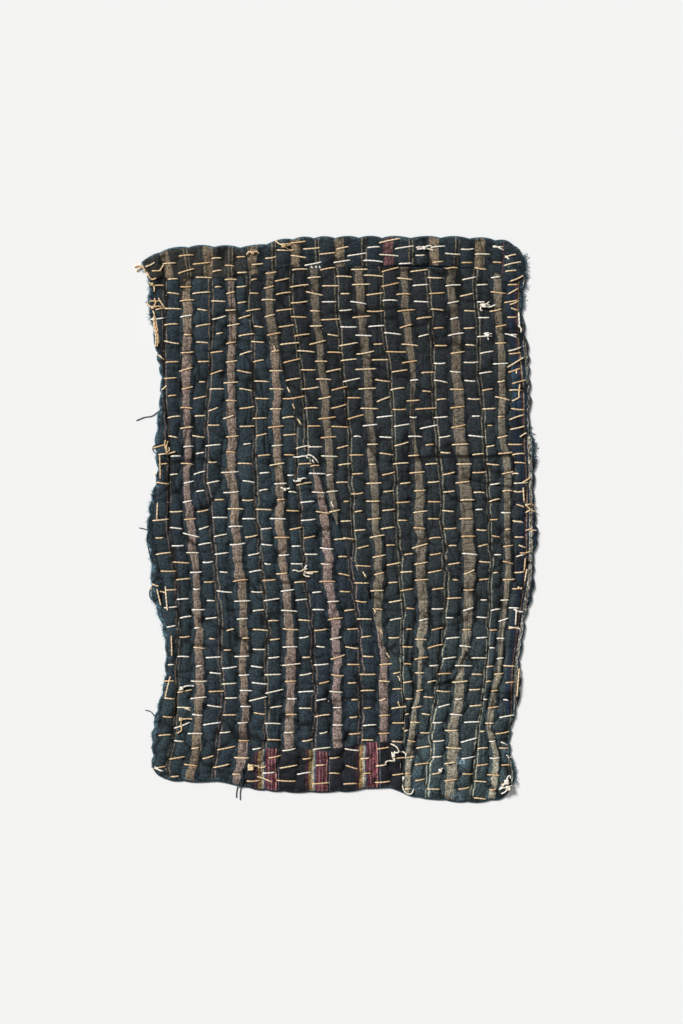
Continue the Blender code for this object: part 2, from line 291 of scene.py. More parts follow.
def woven_cotton(name, ground, faded, pale, stripes=(), repeat=0, plain_below=NO_LIMIT, ageing=(0, 0, 0)):
    """Worn plain-woven cotton, dyed in the yarn: dull and slightly hairy, with a dusty sheen. The yarns
    differ a little, which streaks it both ways. Stripes are warp yarns of other colours: each is
    its middle, half width, two yarn colours and how mixed they are, in the thread coordinates, and
    a few yarns of the ground run in it; there are none below the coordinate plain_below. Where the
    ground has faded, the stripes have gained or lost the given parts of red, green and blue."""
    material = bpy.data.materials.new(name)
    material.use_nodes = True
    tree = material.node_tree
    shader = tree.nodes["Principled BSDF"]
    shader.inputs["Roughness"].default_value = 0.93
    shader.inputs["Specular IOR Level"].default_value = 0.22
    shader.inputs["Sheen Weight"].default_value = 0.06
    shader.inputs["Sheen Roughness"].default_value = 0.6
    uv = add_node(tree, "ShaderNodeUVMap", {"uv_map": "weave"}).outputs[0]
    warp, weft = add_node(tree, "ShaderNodeSeparateXYZ", inputs={0: uv}).outputs[:2]
    wear = add_node(tree, "ShaderNodeAttribute", {"attribute_name": "wear"}).outputs["Fac"]
    shade_and_dust = add_node(tree, "ShaderNodeAttribute", {"attribute_name": "shade_and_dust"}).outputs["Fac"]
    tint = add_node(tree, "ShaderNodeAttribute", {"attribute_name": "tint"}).outputs["Fac"]

    def streaks(across, along, detail):
        """Noise stretched along the yarns."""
        place = vector_maths(tree, "MULTIPLY", {0: uv, 1: (across, along, 1)})
        return add_node(tree, "ShaderNodeTexNoise", inputs={
            "Vector": place, "Scale": 1, "Detail": detail, "Roughness": 0.6}).outputs["Fac"]

    across = maths(tree, "ADD", warp, maths(tree, "MULTIPLY_ADD", streaks(*STRAYING), STRAY, -STRAY / 2))
    tone = TONE_START
    for *noise, share in TONE_NOISES:
        tone = maths(tree, "MULTIPLY_ADD", streaks(*noise), share, tone)
    colour = mixed_colour(tree, tint, ground, faded)
    aged = vector_maths(tree, "SCALE", {0: ageing, "Scale": tint})
    aged = vector_maths(tree, "ADD", {0: aged, 1: (1, 1, 1)})
    striped = maths(tree, "GREATER_THAN", across, plain_below)
    for middle, half, first, second, mixed in stripes:
        apart = maths(tree, "SUBTRACT", across, middle)
        apart = maths(tree, "PINGPONG", apart, repeat / 2) if repeat else maths(tree, "ABSOLUTE", apart)
        mask = ranged(tree, apart, max(half - STRIPE_BLUR, 0), half + STRIPE_BLUR, 1, 0, "SMOOTHSTEP")
        flecks = ranged(tree, streaks(*FLECKS), 0.5 - mixed, 0.5 + mixed)
        yarn = vector_maths(tree, "MULTIPLY", {0: mixed_colour(tree, flecks, first, second), 1: aged})
        dyed = ranged(tree, streaks(*GROUND_YARNS), *GROUND_IN_STRIPES, 0, GROUND_SHOWS)
        yarn = mixed_colour(tree, dyed, yarn, faded)
        colour = mixed_colour(tree, maths(tree, "MULTIPLY", mask, striped), colour, yarn)
    colour = mixed_colour(tree, wear, colour, pale)
    # Painted shade: the colour darkens in the furrows, creases and stitch holes, with a little dust there
    # too.
    unshaded = maths(tree, "MULTIPLY_ADD", shade_and_dust, -SHADE_DARKENS, UNSHADED_TONE)
    tone = maths(tree, "MULTIPLY", maths(tree, "MAXIMUM", tone, DARKEST), unshaded)
    tree.links.new(vector_maths(tree, "SCALE", {0: colour, "Scale": tone}), shader.inputs["Base Color"])
    turns = (maths(tree, "MULTIPLY", part, 2 * math.pi / YARN_PAIR) for part in (warp, weft))
    yarns = [maths(tree, "SINE", turn) for turn in turns]
    weave = maths(tree, "MULTIPLY_ADD", maths(tree, "MULTIPLY", *yarns), WEAVE_RELIEF, streaks(*LUMPS))
    bump = add_node(tree, "ShaderNodeBump", inputs={"Height": weave, "Distance": 0.00035, "Strength": 0.8})
    tree.links.new(bump.outputs[0], shader.inputs["Normal"])
    return material


ROW_SWAYS = (             # how far the stitch rows sway up and down, size of the waves, seed
    (2.2, (95, 60), 21), (0.5, (30, 25), 22),
)
INSIDE_END = 1.001        # cells from a raster's count to just inside its last cell
grid_x = np.arange(-RASTER_HALF[0], RASTER_HALF[0] + CELL, CELL)
grid_y = np.arange(RASTER_HALF[1], -RASTER_HALF[1] - CELL, -CELL)
plane_x, plane_y = np.meshgrid(grid_x, grid_y)
row_pitch = np.interp(grid_y, [row[0] for row in ROW_PITCH], [row[1] for row in ROW_PITCH])
rows_down = np.cumsum(CELL / row_pitch)
row_tilt = sum(sway * cloudy(plane_x, plane_y, size, seed) for sway, size, seed in ROW_SWAYS)
stitch_row = np.interp(-(plane_y + row_tilt), -grid_y, rows_down)


def row_at(y):
    """The row of a raster at a place."""
    return int(np.clip((grid_y[0] - y) / CELL, 0, len(grid_y) - 1))


def column_at(x):
    """The column of a raster at a place."""
    return int(np.clip((x - grid_x[0]) / CELL, 0, len(grid_x) - 1))


def sampled(field, x, y):
    """Value of a raster field at points, between its cells."""
    across = np.clip((x - grid_x[0]) / CELL, 0, len(grid_x) - INSIDE_END)
    down = np.clip((grid_y[0] - y) / CELL, 0, len(grid_y) - INSIDE_END)
    column, row = np.floor(across).astype(int), np.floor(down).astype(int)
    s, t = across - column, down - row
    upper = field[row, column] * (1 - s) + field[row, column + 1] * s
    lower = field[row + 1, column] * (1 - s) + field[row + 1, column + 1] * s
    return upper * (1 - t) + lower * t


DIAGONAL_SEAM = (  # y, x
    (262.0, -88.0), (220.0, -84.5), (191.5, -80.0), (169.0, -67.5), (152.5, -57.5), (118.5, -47.0),
    (88.5, -36.0), (58.0, -29.5), (35.5, -17.0), (7.0, -5.5), (-23.0, 5.5), (-50.0, 19.0),
    (-79.5, 29.5), (-108.5, 37.0), (-131.0, 44.0), (-153.5, 52.0), (-185.0, 56.0), (-203.0, 55.5),
    (-262.0, 55.5),
)
LEFT_CHART = (  # y, then x of the thin twins and wide stripes in turn, from the left edge's twin
    (214.0, -156.5, -138.0, -115.5, -97.5, -82.5, -62.0, -42.5, -22.5, -2.5, 17.0),
    (170.5, -156.5, -137.0, -115.5, -95.5, -77.0, -60.5, -40.5, -20.5, -1.0, 19.0),
    (125.5, -156.5, -138.5, -117.0, -97.5, -77.5, -56.0, -38.0, -19.0, 1.0, 20.5),
    (80.5, -155.0, -136.5, -119.5, -96.5, -76.5, -55.0, -39.0, -19.0, 2.0, 21.5),
    (35.5, -152.0, -137.0, -119.0, -96.5, -75.0, -53.0, -38.0, -19.0, 2.5, 24.5),
    (-9.5, -153.5, -134.0, -114.5, -93.0, -72.5, -52.0, -33.5, -11.5, 7.0, 29.0),
    (-54.5, -146.0, -128.0, -110.0, -88.5, -69.5, -48.0, -30.0, -9.5, 12.0, 33.5),
    (-99.5, -144.5, -126.5, -107.5, -86.0, -65.0, -44.0, -24.5, -3.0, 19.0, 39.5),
    (-144.5, -144.5, -126.0, -105.0, -85.5, -65.0, -44.5, -22.0, -2.0, 19.0, 41.0),
    (-189.5, -147.5, -126.5, -107.5, -85.5, -66.0, -44.5, -22.0, -2.0, 20.0, 40.0),
    (-234.5, -155.0, -133.0, -112.5, -90.5, -69.5, -47.0, -24.5, -3.5, 19.0, 38.5),
)
HALF_REPEAT = 20.25       # from a wide stripe to the next pair of thin lines
STRIPE_HALF = 3.55
TWIN_OFFSET = 1.55        # each thin line from the middle of its pair
TWIN_HALF = 0.5
RIB_PITCH = 13.5          # three ribs of puffs to each repeat of the stripes
FIRST_RIB = 8.5           # ribs to the left of a chart's first thread
REVEAL = 1.2              # how far the backing shows past the cloths on it
FURROW = 2.1              # height of the cloth where the stitches go down
PUFF_RISE = 3.2
EDGE_HEIGHT = 2.3
EDGE_SLOPE = 4.5          # the puffs die away over this distance from an edge
THINNEST = 0.35           # of the cloth, above the backing
BEYOND_CHART = (60, 90)   # how far the yarns are followed to the left and right of a chart
NARROW_STRAY = 0.6        # how far the yarns stray in small waves
NARROW_WAVES = (8, 10)
WIDE_STRAY = 1.1
WIDE_WAVES = (26, 19)
JOG_PITCH = 8.5           # the stitch rows pull the yarns aside in turn
JOG_WAVES = (12, 1)       # mm across, rows up
JOG = 0.6
FOOT_JOG = 0.7            # more at the foot
FOOT_FROM = (80, -100)
SEAM_SLANT = 0.85         # width across the diagonal seam for each mm in x
LATTICE = (90, 44)        # rows of stitches, ribs of puffs
FURROW_SHIFT = 0.13       # how far a furrow strays from row to row, in ribs
PUFF_SWELL = (0.62, 1.3)  # how far a puff swells, least and most
STITCH_SHIFT = 0.16       # how far a stitch strays from its row, in rows
FULL_SHARE = 0.62         # of a puff's section that is full; the rest is a plain arch
FULLNESS = 0.32
TOP_SWELL = 0.64          # the puffs are lower at the top of the rag
LOWER_SWELL = 0.3
SWELL_FROM = (170, 0)
STITCH_DIP = 0.6          # share of a puff's height that a stitch across it presses down
DIP_LENGTH = 2.2
UNEVENNESS = (            # height, size of the waves
    (0.22, (2.6, 5.5)), (0.34, (8, 11)), (0.45, (55, 55)),
)
CREASE_WAVES = (          # depth, size of the waves, sharpness
    (1.0, (15, 34), 16), (0.9, (30, 13), 18), (0.7, (8, 15), 10),
)
STITCH_ROWS = range(2, 86)
MISSING = 0.035           # share of the stitches that have worn away
EDGE_CLEARANCE = 2.2
REACH = 0.06              # how far a stitch reaches past its furrows, in ribs
LONG_REACH = 0.13         # more in the middle of the upper half
LONG_LEFT = (-70, -40)
LONG_RIGHT = (100, 70)
LONG_ABOVE = (50, 90)
SHORTER = 0.2             # how much shorter a stitch can be at each end, in ribs
SHORT_SHARE = 0.2         # of the stitches that are shorter still
MUCH_SHORTER = (0.1, 0.22)
STITCH_LENGTHS = (3, 22)
STITCH_SLOPE = (0.06, 0.12)         # mean and spread
HOLE_DEPTH = 0.75         # of the pinch where a stitch goes in
HOLE_SPREAD = 1.3
HOLE_CELLS = 9
LEFT_CREASES = (          # depth, half width, then points along a crease
    (1.3, 1.2, ((-154.0, 205.0), (-157.0, 160.0), (-158.0, 120.0), (-153.0, 85.0), (-151.0, 50.0))),
    (1.5, 1.3, ((-151.0, 50.0), (-153.0, 15.0), (-151.0, -12.0), (-146.0, -40.0), (-143.0, -66.0))),
    (1.2, 1.2, ((-143.0, -66.0), (-141.0, -112.0), (-145.0, -150.0), (-147.0, -176.0))),
    (1.0, 1.2, ((-130.0, 92.0), (-129.0, 66.0), (-130.0, 44.0))),
    (1.3, 1.3, ((-47.0, 60.0), (-46.0, 20.0), (-44.0, -8.0))),
    (0.9, 1.2, ((-81.5, 214.0), (-84.0, 200.0), (-80.0, 180.0))),
    (1.0, 1.2, ((-101.0, -62.0), (-98.0, -100.0), (-97.0, -130.0))),
    (0.9, 1.1, ((-58.0, -150.0), (-57.0, -190.0))),
    (0.8, 1.0, ((-120.0, -20.0), (-104.0, -23.0), (-92.0, -21.0))),
    (1.0, 1.2, ((-137.0, 80.0), (-140.0, 60.0), (-138.0, 48.0))),
)
WORN_SPOTS = (            # x, y, radius, strength: rubbed through to pale blue
    (110.0, -217.0, 4.0, 0.9), (78.0, -243.0, 5.0, 0.7), (104.0, -249.0, 7.0, 0.7),
    (124.0, -250.0, 6.0, 0.5), (151.0, -205.0, 4.0, 0.7), (-168.0, 60.0, 3.0, 0.6),
    (-166.0, 40.0, 3.0, 0.7), (-172.0, -5.0, 3.5, 0.7), (-171.0, -40.0, 3.5, 0.7),
    (-168.0, -72.0, 4.0, 0.8), (-161.0, -92.0, 4.0, 0.8), (-158.0, -118.0, 4.0, 0.8),
    (-158.0, -140.0, 4.0, 0.8), (-163.0, -165.0, 3.5, 0.7), (-169.0, -200.0, 4.0, 0.7),
    (-171.0, 205.0, 5.0, 0.9), (-170.0, 185.0, 5.0, 0.9), (-163.0, 150.0, 3.5, 0.5),
    (-23.0, 227.0, 5.0, 0.5), (133.0, 226.0, 4.0, 0.5), (153.0, 226.0, 5.0, 0.6),
)
RAW_EDGE = (              # distance outward, height from the rim
    (0.35, -0.2), (0.6, -0.6), (0.6, -1.1), (0.2, -1.6),
)
CREST = (3.6, 5.4)        # heights between which the cloth begins to be rubbed
CREST_WEAR = 0.04
WEAR_PATCHES = (3.1, 4.3)           # sizes of waves
WIDE_PATCHES = (17, 23)
TEARS = (1.6, 2.3)
WIDE_TEARS = (7, 11)
TORN = (-0.15, 0.75)
EDGE_WEAR = (2.4, 0.2)    # distances from the edge between which it wears pale
SPOT_WEAR = 0.8
SHADE_ABOVE = 0.85         # painted shade, with a little dust, begins this much above the furrows
SHADE_BELOW = 0.4
CREASE_SHADE = 0.85
SHADED_CREASE = (0.25, 1.1)


def diagonal(y):
    return curve_through(DIAGONAL_SEAM, 1, y)


def lattice_value(lattice, row, column):
    """Value of a small table of random numbers at places between its entries."""
    low_row = np.clip(np.floor(row).astype(int), 0, lattice.shape[0] - 2)
    low_column = np.clip(np.floor(column).astype(int), 0, lattice.shape[1] - 2)
    t, s = between(0, 1, row - low_row), between(0, 1, column - low_column)
    near = lattice[low_row, low_column] * (1 - s) + lattice[low_row, low_column + 1] * s
    far = lattice[low_row + 1, low_column] * (1 - s) + lattice[low_row + 1, low_column + 1] * s
    return near * (1 - t) + far * t


def away_from(points, x, y):
    """Distance of each place from a line through points."""
    nearest = np.full(np.shape(x), np.inf)
    for (ax, ay), (bx, by) in zip(points, points[1:]):
        length = math.hypot(bx - ax, by - ay)
        along = np.clip(((x - ax) * (bx - ax) + (y - ay) * (by - ay)) / length ** 2, 0, 1)
        away = np.hypot(x - ax - along * (bx - ax), y - ay - along * (by - ay))
        nearest = np.minimum(nearest, away)
    return nearest


def chart_threads(chart, first_thread, seed):
    """Raster of thread coordinates across a cloth, in mm, from the places of its stripes. The stitches
    pull the yarns a little to one side and the other, so they jog from one row to the next."""
    count = len(chart[0]) - 1
    before, after = BEYOND_CHART
    known = [first_thread + HALF_REPEAT * step for step in range(count)]
    known = [known[0] - before] + known + [known[-1] + after]
    columns = [curve_through(chart, 1 + step, grid_y) for step in range(count)]
    raster = np.empty(plane_x.shape)
    for row in range(len(grid_y)):
        places = [column[row] for column in columns]
        raster[row] = np.interp(grid_x, [places[0] - before] + places + [places[-1] + after], known)
    raster += NARROW_STRAY * cloudy(plane_x, plane_y, NARROW_WAVES, seed)
    rows_up = plane_y / JOG_PITCH
    jogs = np.floor(rows_up) + between(0.25, 0.75, rows_up % 1)
    raster += (JOG + FOOT_JOG * between(*FOOT_FROM, plane_y)) * cloudy(plane_x, jogs, JOG_WAVES, seed + 6)
    return raster + WIDE_STRAY * cloudy(plane_x, plane_y, WIDE_WAVES, seed + 3)


past_diagonal = (plane_x - diagonal(plane_y)) * SEAM_SLANT
from_edge = np.minimum(plane_x - left_edge(plane_y), right_edge(plane_y) - plane_x)
from_edge = np.minimum(from_edge, top_edge(plane_x) - plane_y)
from_edge = np.minimum(from_edge, plane_y - bottom_edge(plane_x)) - REVEAL


def quilt(threads, creases, mine, seed):
    """Rasters of a quilted cloth's height and of the depth of its creases, and the running stitches
    that hold it where mine is true, each as its two ends, its row, and whether it is on the back."""
    random = np.random.default_rng(seed)
    furrow_shift = random.uniform(-FURROW_SHIFT, FURROW_SHIFT, LATTICE)
    swell = random.uniform(*PUFF_SWELL, LATTICE)
    late = random.uniform(-STITCH_SHIFT, STITCH_SHIFT, LATTICE)
    rough = threads / RIB_PITCH + FIRST_RIB
    rib = rough + lattice_value(furrow_shift, stitch_row, rough)
    which = np.clip(np.floor(rib).astype(int), 0, LATTICE[1] - 1)
    odd = which % 2
    row = np.clip(2 * np.round((stitch_row - odd) / 2).astype(int) + odd, 0, LATTICE[0] - 1)
    from_stitch = (stitch_row - row - late[row, which]) * row_pitch[:, None]
    puff = np.clip((stitch_row - odd) / 2 - 0.5, 0, LATTICE[0] - 2)
    low_puff = np.floor(puff).astype(int)
    part = puff - low_puff
    swelling = swell[low_puff, which] * (1 - part) + swell[low_puff + 1, which] * part
    swelling = swelling * (TOP_SWELL + LOWER_SWELL * between(*SWELL_FROM, plane_y))
    arch = np.sin(math.pi * (rib - which).clip(0, 1))
    profile = FULL_SHARE * arch ** FULLNESS + (1 - FULL_SHARE) * arch
    dip = 1 - STITCH_DIP * np.exp(-(from_stitch / DIP_LENGTH) ** 2)
    height = FURROW + PUFF_RISE * profile * swelling * dip
    for step, (rise, size_of_waves) in enumerate(UNEVENNESS, 1):
        height += rise * cloudy(plane_x, plane_y, size_of_waves, seed + step)
    creased = np.zeros(height.shape)
    for depth, size_of_waves, sharpness in CREASE_WAVES:
        crests = 1 - np.abs(cloudy(plane_x, plane_y, size_of_waves, seed + sharpness))
        creased += depth * crests ** sharpness
    for depth, half_width, points in creases:
        creased += depth * np.exp(-(away_from(points, plane_x, plane_y) / half_width) ** 2)
    height -= creased
    stitches = []
    for number in STITCH_ROWS:
        for place in range(LATTICE[1]):
            y = np.interp(number, rows_down, grid_y)
            if random.random() < MISSING:
                continue
            for _ in range(2):
                middle = np.interp(place + 0.5, rib[row_at(y)], grid_x)
                y = np.interp(number + late[number, place], stitch_row[:, column_at(middle)], grid_y)
            at = (row_at(y), column_at(middle))
            if not mine[at] or from_edge[at] < EDGE_CLEARANCE:
                continue
            long_part = between(*LONG_LEFT, middle) * between(*LONG_RIGHT, middle) * between(*LONG_ABOVE, y)
            shorter = random.uniform(0.0, SHORTER, 2)
            shorter += (random.random() < SHORT_SHARE) * random.uniform(*MUCH_SHORTER, 2)
            shorter -= REACH + LONG_REACH * long_part
            start, end = np.interp((place + shorter[0], place + 1 - shorter[1]), rib[row_at(y)], grid_x)
            if not STITCH_LENGTHS[0] < end - start < STITCH_LENGTHS[1]:
                continue
            rise = random.normal(*STITCH_SLOPE) * (end - start) / 2
            stitches.append((start, y - rise, end, y + rise, number, (number + place) % 2 == 1))
    for start, low, end, high, _, behind in stitches:
        if behind:
            continue
        for x, y in ((start, low), (end, high)):
            row, column = row_at(y), column_at(x)
            window = np.s_[max(row - HOLE_CELLS, 0):row + HOLE_CELLS + 1,
                           max(column - HOLE_CELLS, 0):column + HOLE_CELLS + 1]
            away = (plane_x[window] - x) ** 2 + (plane_y[window] - y) ** 2
            height[window] -= HOLE_DEPTH * np.exp(-away / HOLE_SPREAD)
    height = EDGE_HEIGHT + (height - EDGE_HEIGHT) * between(0, EDGE_SLOPE, from_edge)
    return np.maximum(height, BACKING_TOP + THINNEST), creased, stitches


def marks_at(x, y, z, creased, pale_edge, tint):
    """How worn, faded and shaded each place is. The crests, the raw edges and some spots are rubbed
    pale; the furrows, creases and stitch holes get painted shade, with a little dust."""
    patchy = 0.5 + 0.5 * cloudy(x, y, WEAR_PATCHES, 31) * cloudy(x, y, WIDE_PATCHES, 32)
    worn = CREST_WEAR * between(*CREST, z) * patchy
    torn = between(*TORN, cloudy(x, y, TEARS, 39) + 0.5 * cloudy(x, y, WIDE_TEARS, 33))
    worn += pale_edge * between(*EDGE_WEAR, sampled(from_edge, x, y)) * torn
    for spot_x, spot_y, radius, strength in WORN_SPOTS:
        reach = ((x - spot_x) ** 2 + (y - spot_y) ** 2) / radius ** 2
        worn += SPOT_WEAR * strength * np.exp(-reach) * torn
    # Painted shade, darkest down in the furrows and stitch holes and along the creases.
    shade_and_dust = between(FURROW + SHADE_ABOVE, FURROW - SHADE_BELOW, z)
    shade_and_dust = np.minimum(shade_and_dust + CREASE_SHADE * between(*SHADED_CREASE, sampled(creased, x, y)), 1)
    return {"wear": np.clip(worn, 0, 1), "tint": tint, "shade_and_dust": shade_and_dust}


def loom_stripes(half, wide, thin):
    """A wide stripe and the pair of thin lines midway to the next, from their half width and yarns."""
    return ((0, half, *wide), (HALF_REPEAT - TWIN_OFFSET, TWIN_HALF, *thin),
            (HALF_REPEAT + TWIN_OFFSET, TWIN_HALF, *thin))


LEFT_TOP = 221.0
LEFT_FOOT = -221.5
SEAM_FOOT = 55.5          # x of the diagonal seam at the foot
SIDE_POINTS = 400
FOOT_POINTS = 200
LEFT_GRID = (190, 410)    # points across and down
UNDER_SEAM = 1.6          # how far the cloth runs under the seam
DROP_UNDER_SEAM = 1.3
CORNER_X = (-105, -150)   # the lower left corner is faded
CORNER_Y = (-130, -180)
CORNER_FADED = 0.7
FADED = 0.45
FADE_PATCHES = 0.35
FADE_UPWARD = 0.0014
LEFT_EDGE_WEAR = 0.6
LEFT_PLAIN_BELOW = -25.0  # beyond the leftmost pair of thin lines
left_threads = chart_threads(LEFT_CHART, -HALF_REPEAT, 41)
left_height, left_creased, left_stitches = quilt(left_threads, LEFT_CREASES, past_diagonal < 0, 50)
left_y = np.linspace(LEFT_TOP, LEFT_FOOT, SIDE_POINTS)
right_y = np.linspace(LEFT_TOP, bottom_edge(SEAM_FOOT) + REVEAL, SIDE_POINTS)
left_side = line_of(left_edge(left_y) + REVEAL, left_y)
right_side = line_of(diagonal(right_y) + UNDER_SEAM, right_y)
foot_x = np.linspace(left_side[-1, 0], right_side[-1, 0], FOOT_POINTS)
foot = line_of(foot_x, bottom_edge(foot_x) + REVEAL)
foot[0], right_side[-1] = left_side[-1], foot[-1]
flat = spread(np.stack([left_side[0], right_side[0]]), foot, left_side, right_side, *LEFT_GRID)
x, y = flat[..., 0], flat[..., 1]
z = sampled(left_height, x, y) - DROP_UNDER_SEAM * between(-0.4, 1.4, sampled(past_diagonal, x, y))
threads = np.stack([sampled(left_threads, x, y), y], axis=-1)
lower_corner = between(*CORNER_X, x) * between(*CORNER_Y, y)
fading = FADED + FADE_PATCHES * cloudy(x, y, (70, 110), 35) + FADE_UPWARD * y + CORNER_FADED * lower_corner
marks = marks_at(x, y, z, left_creased, LEFT_EDGE_WEAR, between(0.0, 1.0, fading))
left_cloth = cloth_object("left_striped_cloth", flat, z, threads, RAW_EDGE, marks)
left_cloth.data.materials.append(woven_cotton(
    "left_cotton_plain_woven_indigo", "#202B32", "#29363B", "#7398A6",
    loom_stripes(STRIPE_HALF, ("#6B5855", "#9D8882", 0.18), ("#6B5A55", "#7F6E68", 0.2)),
    2 * HALF_REPEAT, LEFT_PLAIN_BELOW, (-0.22, -0.14, -0.46)))
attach(left_cloth, "root")
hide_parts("left_cloth")

# The right cloth
# Narrow-loom cotton from greyer indigo yarn with olive-grey stripes, faded to teal at its foot. Its
# folded left edge is sewn down on the left cloth along the diagonal seam. A tuck crosses it, and
# small lengthwise tucks swallow part of two of its stripes.
BAND_SEAM = (  # x, y
    (-190.0, 215.5), (-156.5, 216.5), (-93.5, 218.0), (-64.0, 223.0), (-41.5, 227.0), (-3.5, 227.0),
    (55.0, 229.0), (100.0, 228.0), (122.5, 225.5), (147.5, 220.0), (190.0, 216.0),
)
STRIP_SEAM = (  # y, x
    (262.0, 150.0), (220.0, 150.0), (157.0, 154.0), (107.5, 156.5), (62.5, 157.5), (31.0, 163.0),
    (-1.5, 163.0), (-36.5, 161.0), (-63.5, 161.0), (-86.0, 156.5), (-113.0, 154.0), (-135.5, 152.0),
    (-162.5, 149.5), (-174.0, 151.0), (-262.0, 151.0),
)
RIGHT_CHART = (  # y, then x of the wide stripes and thin twins in turn; the last is a red and tan line
    (220.0, -62.0, -43.0, -23.5, -3.0, 16.5, 37.5, 59.0, 80.5, 101.0, 122.0, 143.0, 161.5),
    (179.5, -61.0, -41.0, -20.5, -0.5, 20.5, 40.0, 61.5, 82.5, 103.5, 124.0, 143.5, 161.5),
    (134.5, -56.0, -34.0, -15.5, 3.5, 24.5, 45.0, 66.5, 85.0, 106.0, 126.0, 147.0, 164.0),
    (89.5, -54.0, -30.0, -11.0, 8.0, 27.5, 49.0, 65.5, 86.0, 108.5, 130.0, 146.0, 166.0),
    (44.5, -48.5, -27.0, -8.5, 10.0, 31.5, 50.5, 71.0, 91.5, 112.5, 133.0, 151.0, 168.5),
    (-0.5, -42.5, -23.5, -4.0, 12.5, 32.5, 52.5, 72.0, 93.0, 115.0, 136.0, 151.5, 168.5),
    (-45.5, -35.0, -17.0, 1.0, 14.0, 36.0, 54.5, 74.5, 95.5, 117.0, 137.0, 152.5, 168.0),
    (-90.5, -28.0, -10.0, 8.0, 17.5, 34.5, 57.0, 75.0, 95.0, 115.5, 135.5, 147.0, 162.0),
    (-135.5, -20.5, -2.5, 11.5, 20.5, 40.5, 56.5, 72.5, 90.0, 110.0, 132.5, 142.0, 159.0),
    (-180.5, -13.5, 2.5, 17.0, 24.5, 42.5, 58.5, 66.0, 84.0, 104.5, 127.0, 134.5, 155.5),
    (-225.5, -8.0, 8.0, 20.5, 28.0, 44.0, 56.5, 60.0, 81.5, 100.5, 121.0, 142.0, 154.0),
    (-252.5, -6.5, 10.0, 22.5, 29.5, 44.0, 56.0, 59.5, 79.0, 99.0, 119.5, 137.0, 152.0),
)
RIGHT_TUCKS = (           # which line of the chart, then y and how much of each half is swallowed or let out
    (6, ((220.0, 0.2), (134.5, 1.2), (120.0, 2.0), (81.5, 2.7), (60.0, 3.1), (50.0, 1.0), (30.0, 0.2),
         (-110.0, 0.2), (-135.0, 1.6), (-150.0, 2.6), (-164.0, 1.8), (-180.0, -0.4), (-252.0, -0.6))),
    (8, ((220.0, 0.0), (-110.0, 0.0), (-134.0, 1.6), (-150.0, 0.2), (-170.0, -0.8), (-252.0, -0.8))),
)
RIGHT_CREASES = (
    (1.5, 1.3, ((68.0, 55.0), (100.0, 56.5), (130.0, 56.0), (158.0, 57.5))),
    (1.2, 1.2, ((118.0, 35.5), (138.0, 31.0), (154.0, 29.0))),
    (1.1, 1.2, ((66.0, 118.0), (66.0, 90.0), (67.0, 62.0))),
    (0.9, 1.1, ((71.5, -118.0), (68.0, -150.0), (64.0, -176.0))),
    (2.0, 1.2, ((57.5, -203.0), (57.0, -225.0), (56.5, -247.0))),
    (0.9, 1.1, ((148.0, -60.0), (146.0, -100.0), (141.0, -140.0))),
    (1.7, 1.3, ((115.0, -120.0), (108.0, -136.0), (102.0, -145.0), (91.0, -148.5))),
    (1.4, 1.1, ((92.0, -98.0), (90.5, -125.0), (91.0, -148.0), (87.0, -168.0))),
    (1.5, 1.2, ((124.0, -203.0), (120.5, -217.0), (119.5, -237.0))),
    (1.4, 1.2, ((119.5, -236.0), (128.0, -235.0), (138.0, -239.5))),
    (1.2, 1.2, ((64.0, -96.0), (61.0, -128.0), (66.0, -140.0))),
)
TUCK_CORE = 3             # half of a tuck's own width
TUCK_PULL = 7             # how far it pulls the yarns beside it
SEAM_LIFT = 0.35
SEAM_RISE = (9, 1)        # distances past the seam between which the folded edge begins to stand up
RIGHT_TOP = 224.0
RIGHT_FOOT = -231.0
SEAM_TOP = 230.0
STRIP_END = -174          # y of the edge strip's foot
UNDER_STRIP = 3
DROP_UNDER_STRIP = 0.9
RIGHT_GRID = (205, 415)
RIGHT_STRIPE_HALF = 3.35
TEAL_FOOT = (-170, -225)  # heights between which the cloth fades to teal
TEAL_FROM = (45, 65)
TEAL_WAVES = 12           # how far the border of the teal strays up and down
LESS_TEAL = 0.45          # in a dirtier stretch of the foot
DIRTY_LEFT = (86, 98)
DIRTY_RIGHT = (134, 122)
PALE_PATCHES = 0.12
PALE_TOP = 0.1
PALE_FROM = (140, 60)
PALE_FOOT = 0.36
FOOT_FADES = (-50, -140)
RIGHT_EDGE_WEAR = 0.3


def band_seam(x):
    return curve_through(BAND_SEAM, 1, x)


def strip_seam(y):
    return curve_through(STRIP_SEAM, 1, y)


right_threads = chart_threads(RIGHT_CHART, 0, 42)
for stripe, swallowed in RIGHT_TUCKS:
    apart = right_threads - stripe * HALF_REPEAT
    amount = curve_through(swallowed, 1, plane_y)
    pull = np.clip(apart / TUCK_CORE, -1, 1) * amount
    right_threads = right_threads + pull * np.exp(-(apart / TUCK_PULL) ** 2)
right_height, right_creased, right_stitches = quilt(right_threads, RIGHT_CREASES, past_diagonal >= 0, 60)
right_height += SEAM_LIFT * between(*SEAM_RISE, past_diagonal)
left_y = np.linspace(SEAM_TOP, bottom_edge(SEAM_FOOT) + REVEAL, SIDE_POINTS)
right_y = np.linspace(RIGHT_TOP, RIGHT_FOOT, SIDE_POINTS)
left_side = line_of(diagonal(left_y), left_y)
own_edge = right_edge(right_y) - REVEAL
under_strip = np.minimum(strip_seam(right_y) + UNDER_STRIP, own_edge)
right_side = line_of(np.where(right_y > STRIP_END, under_strip, own_edge), right_y)
foot_x = np.linspace(left_side[-1, 0], right_side[-1, 0], FOOT_POINTS)
foot = line_of(foot_x, bottom_edge(foot_x) + REVEAL)
foot[0], foot[-1] = left_side[-1], right_side[-1]
flat = spread(np.stack([left_side[0], right_side[0]]), foot, left_side, right_side, *RIGHT_GRID)
x, y = flat[..., 0], flat[..., 1]
under = between(-1.4, 0.6, x - strip_seam(y)) * between(STRIP_END - 4, STRIP_END + 2, y)
z = sampled(right_height, x, y) - DROP_UNDER_STRIP * under
threads = np.stack([sampled(right_threads, x, y), y], axis=-1)
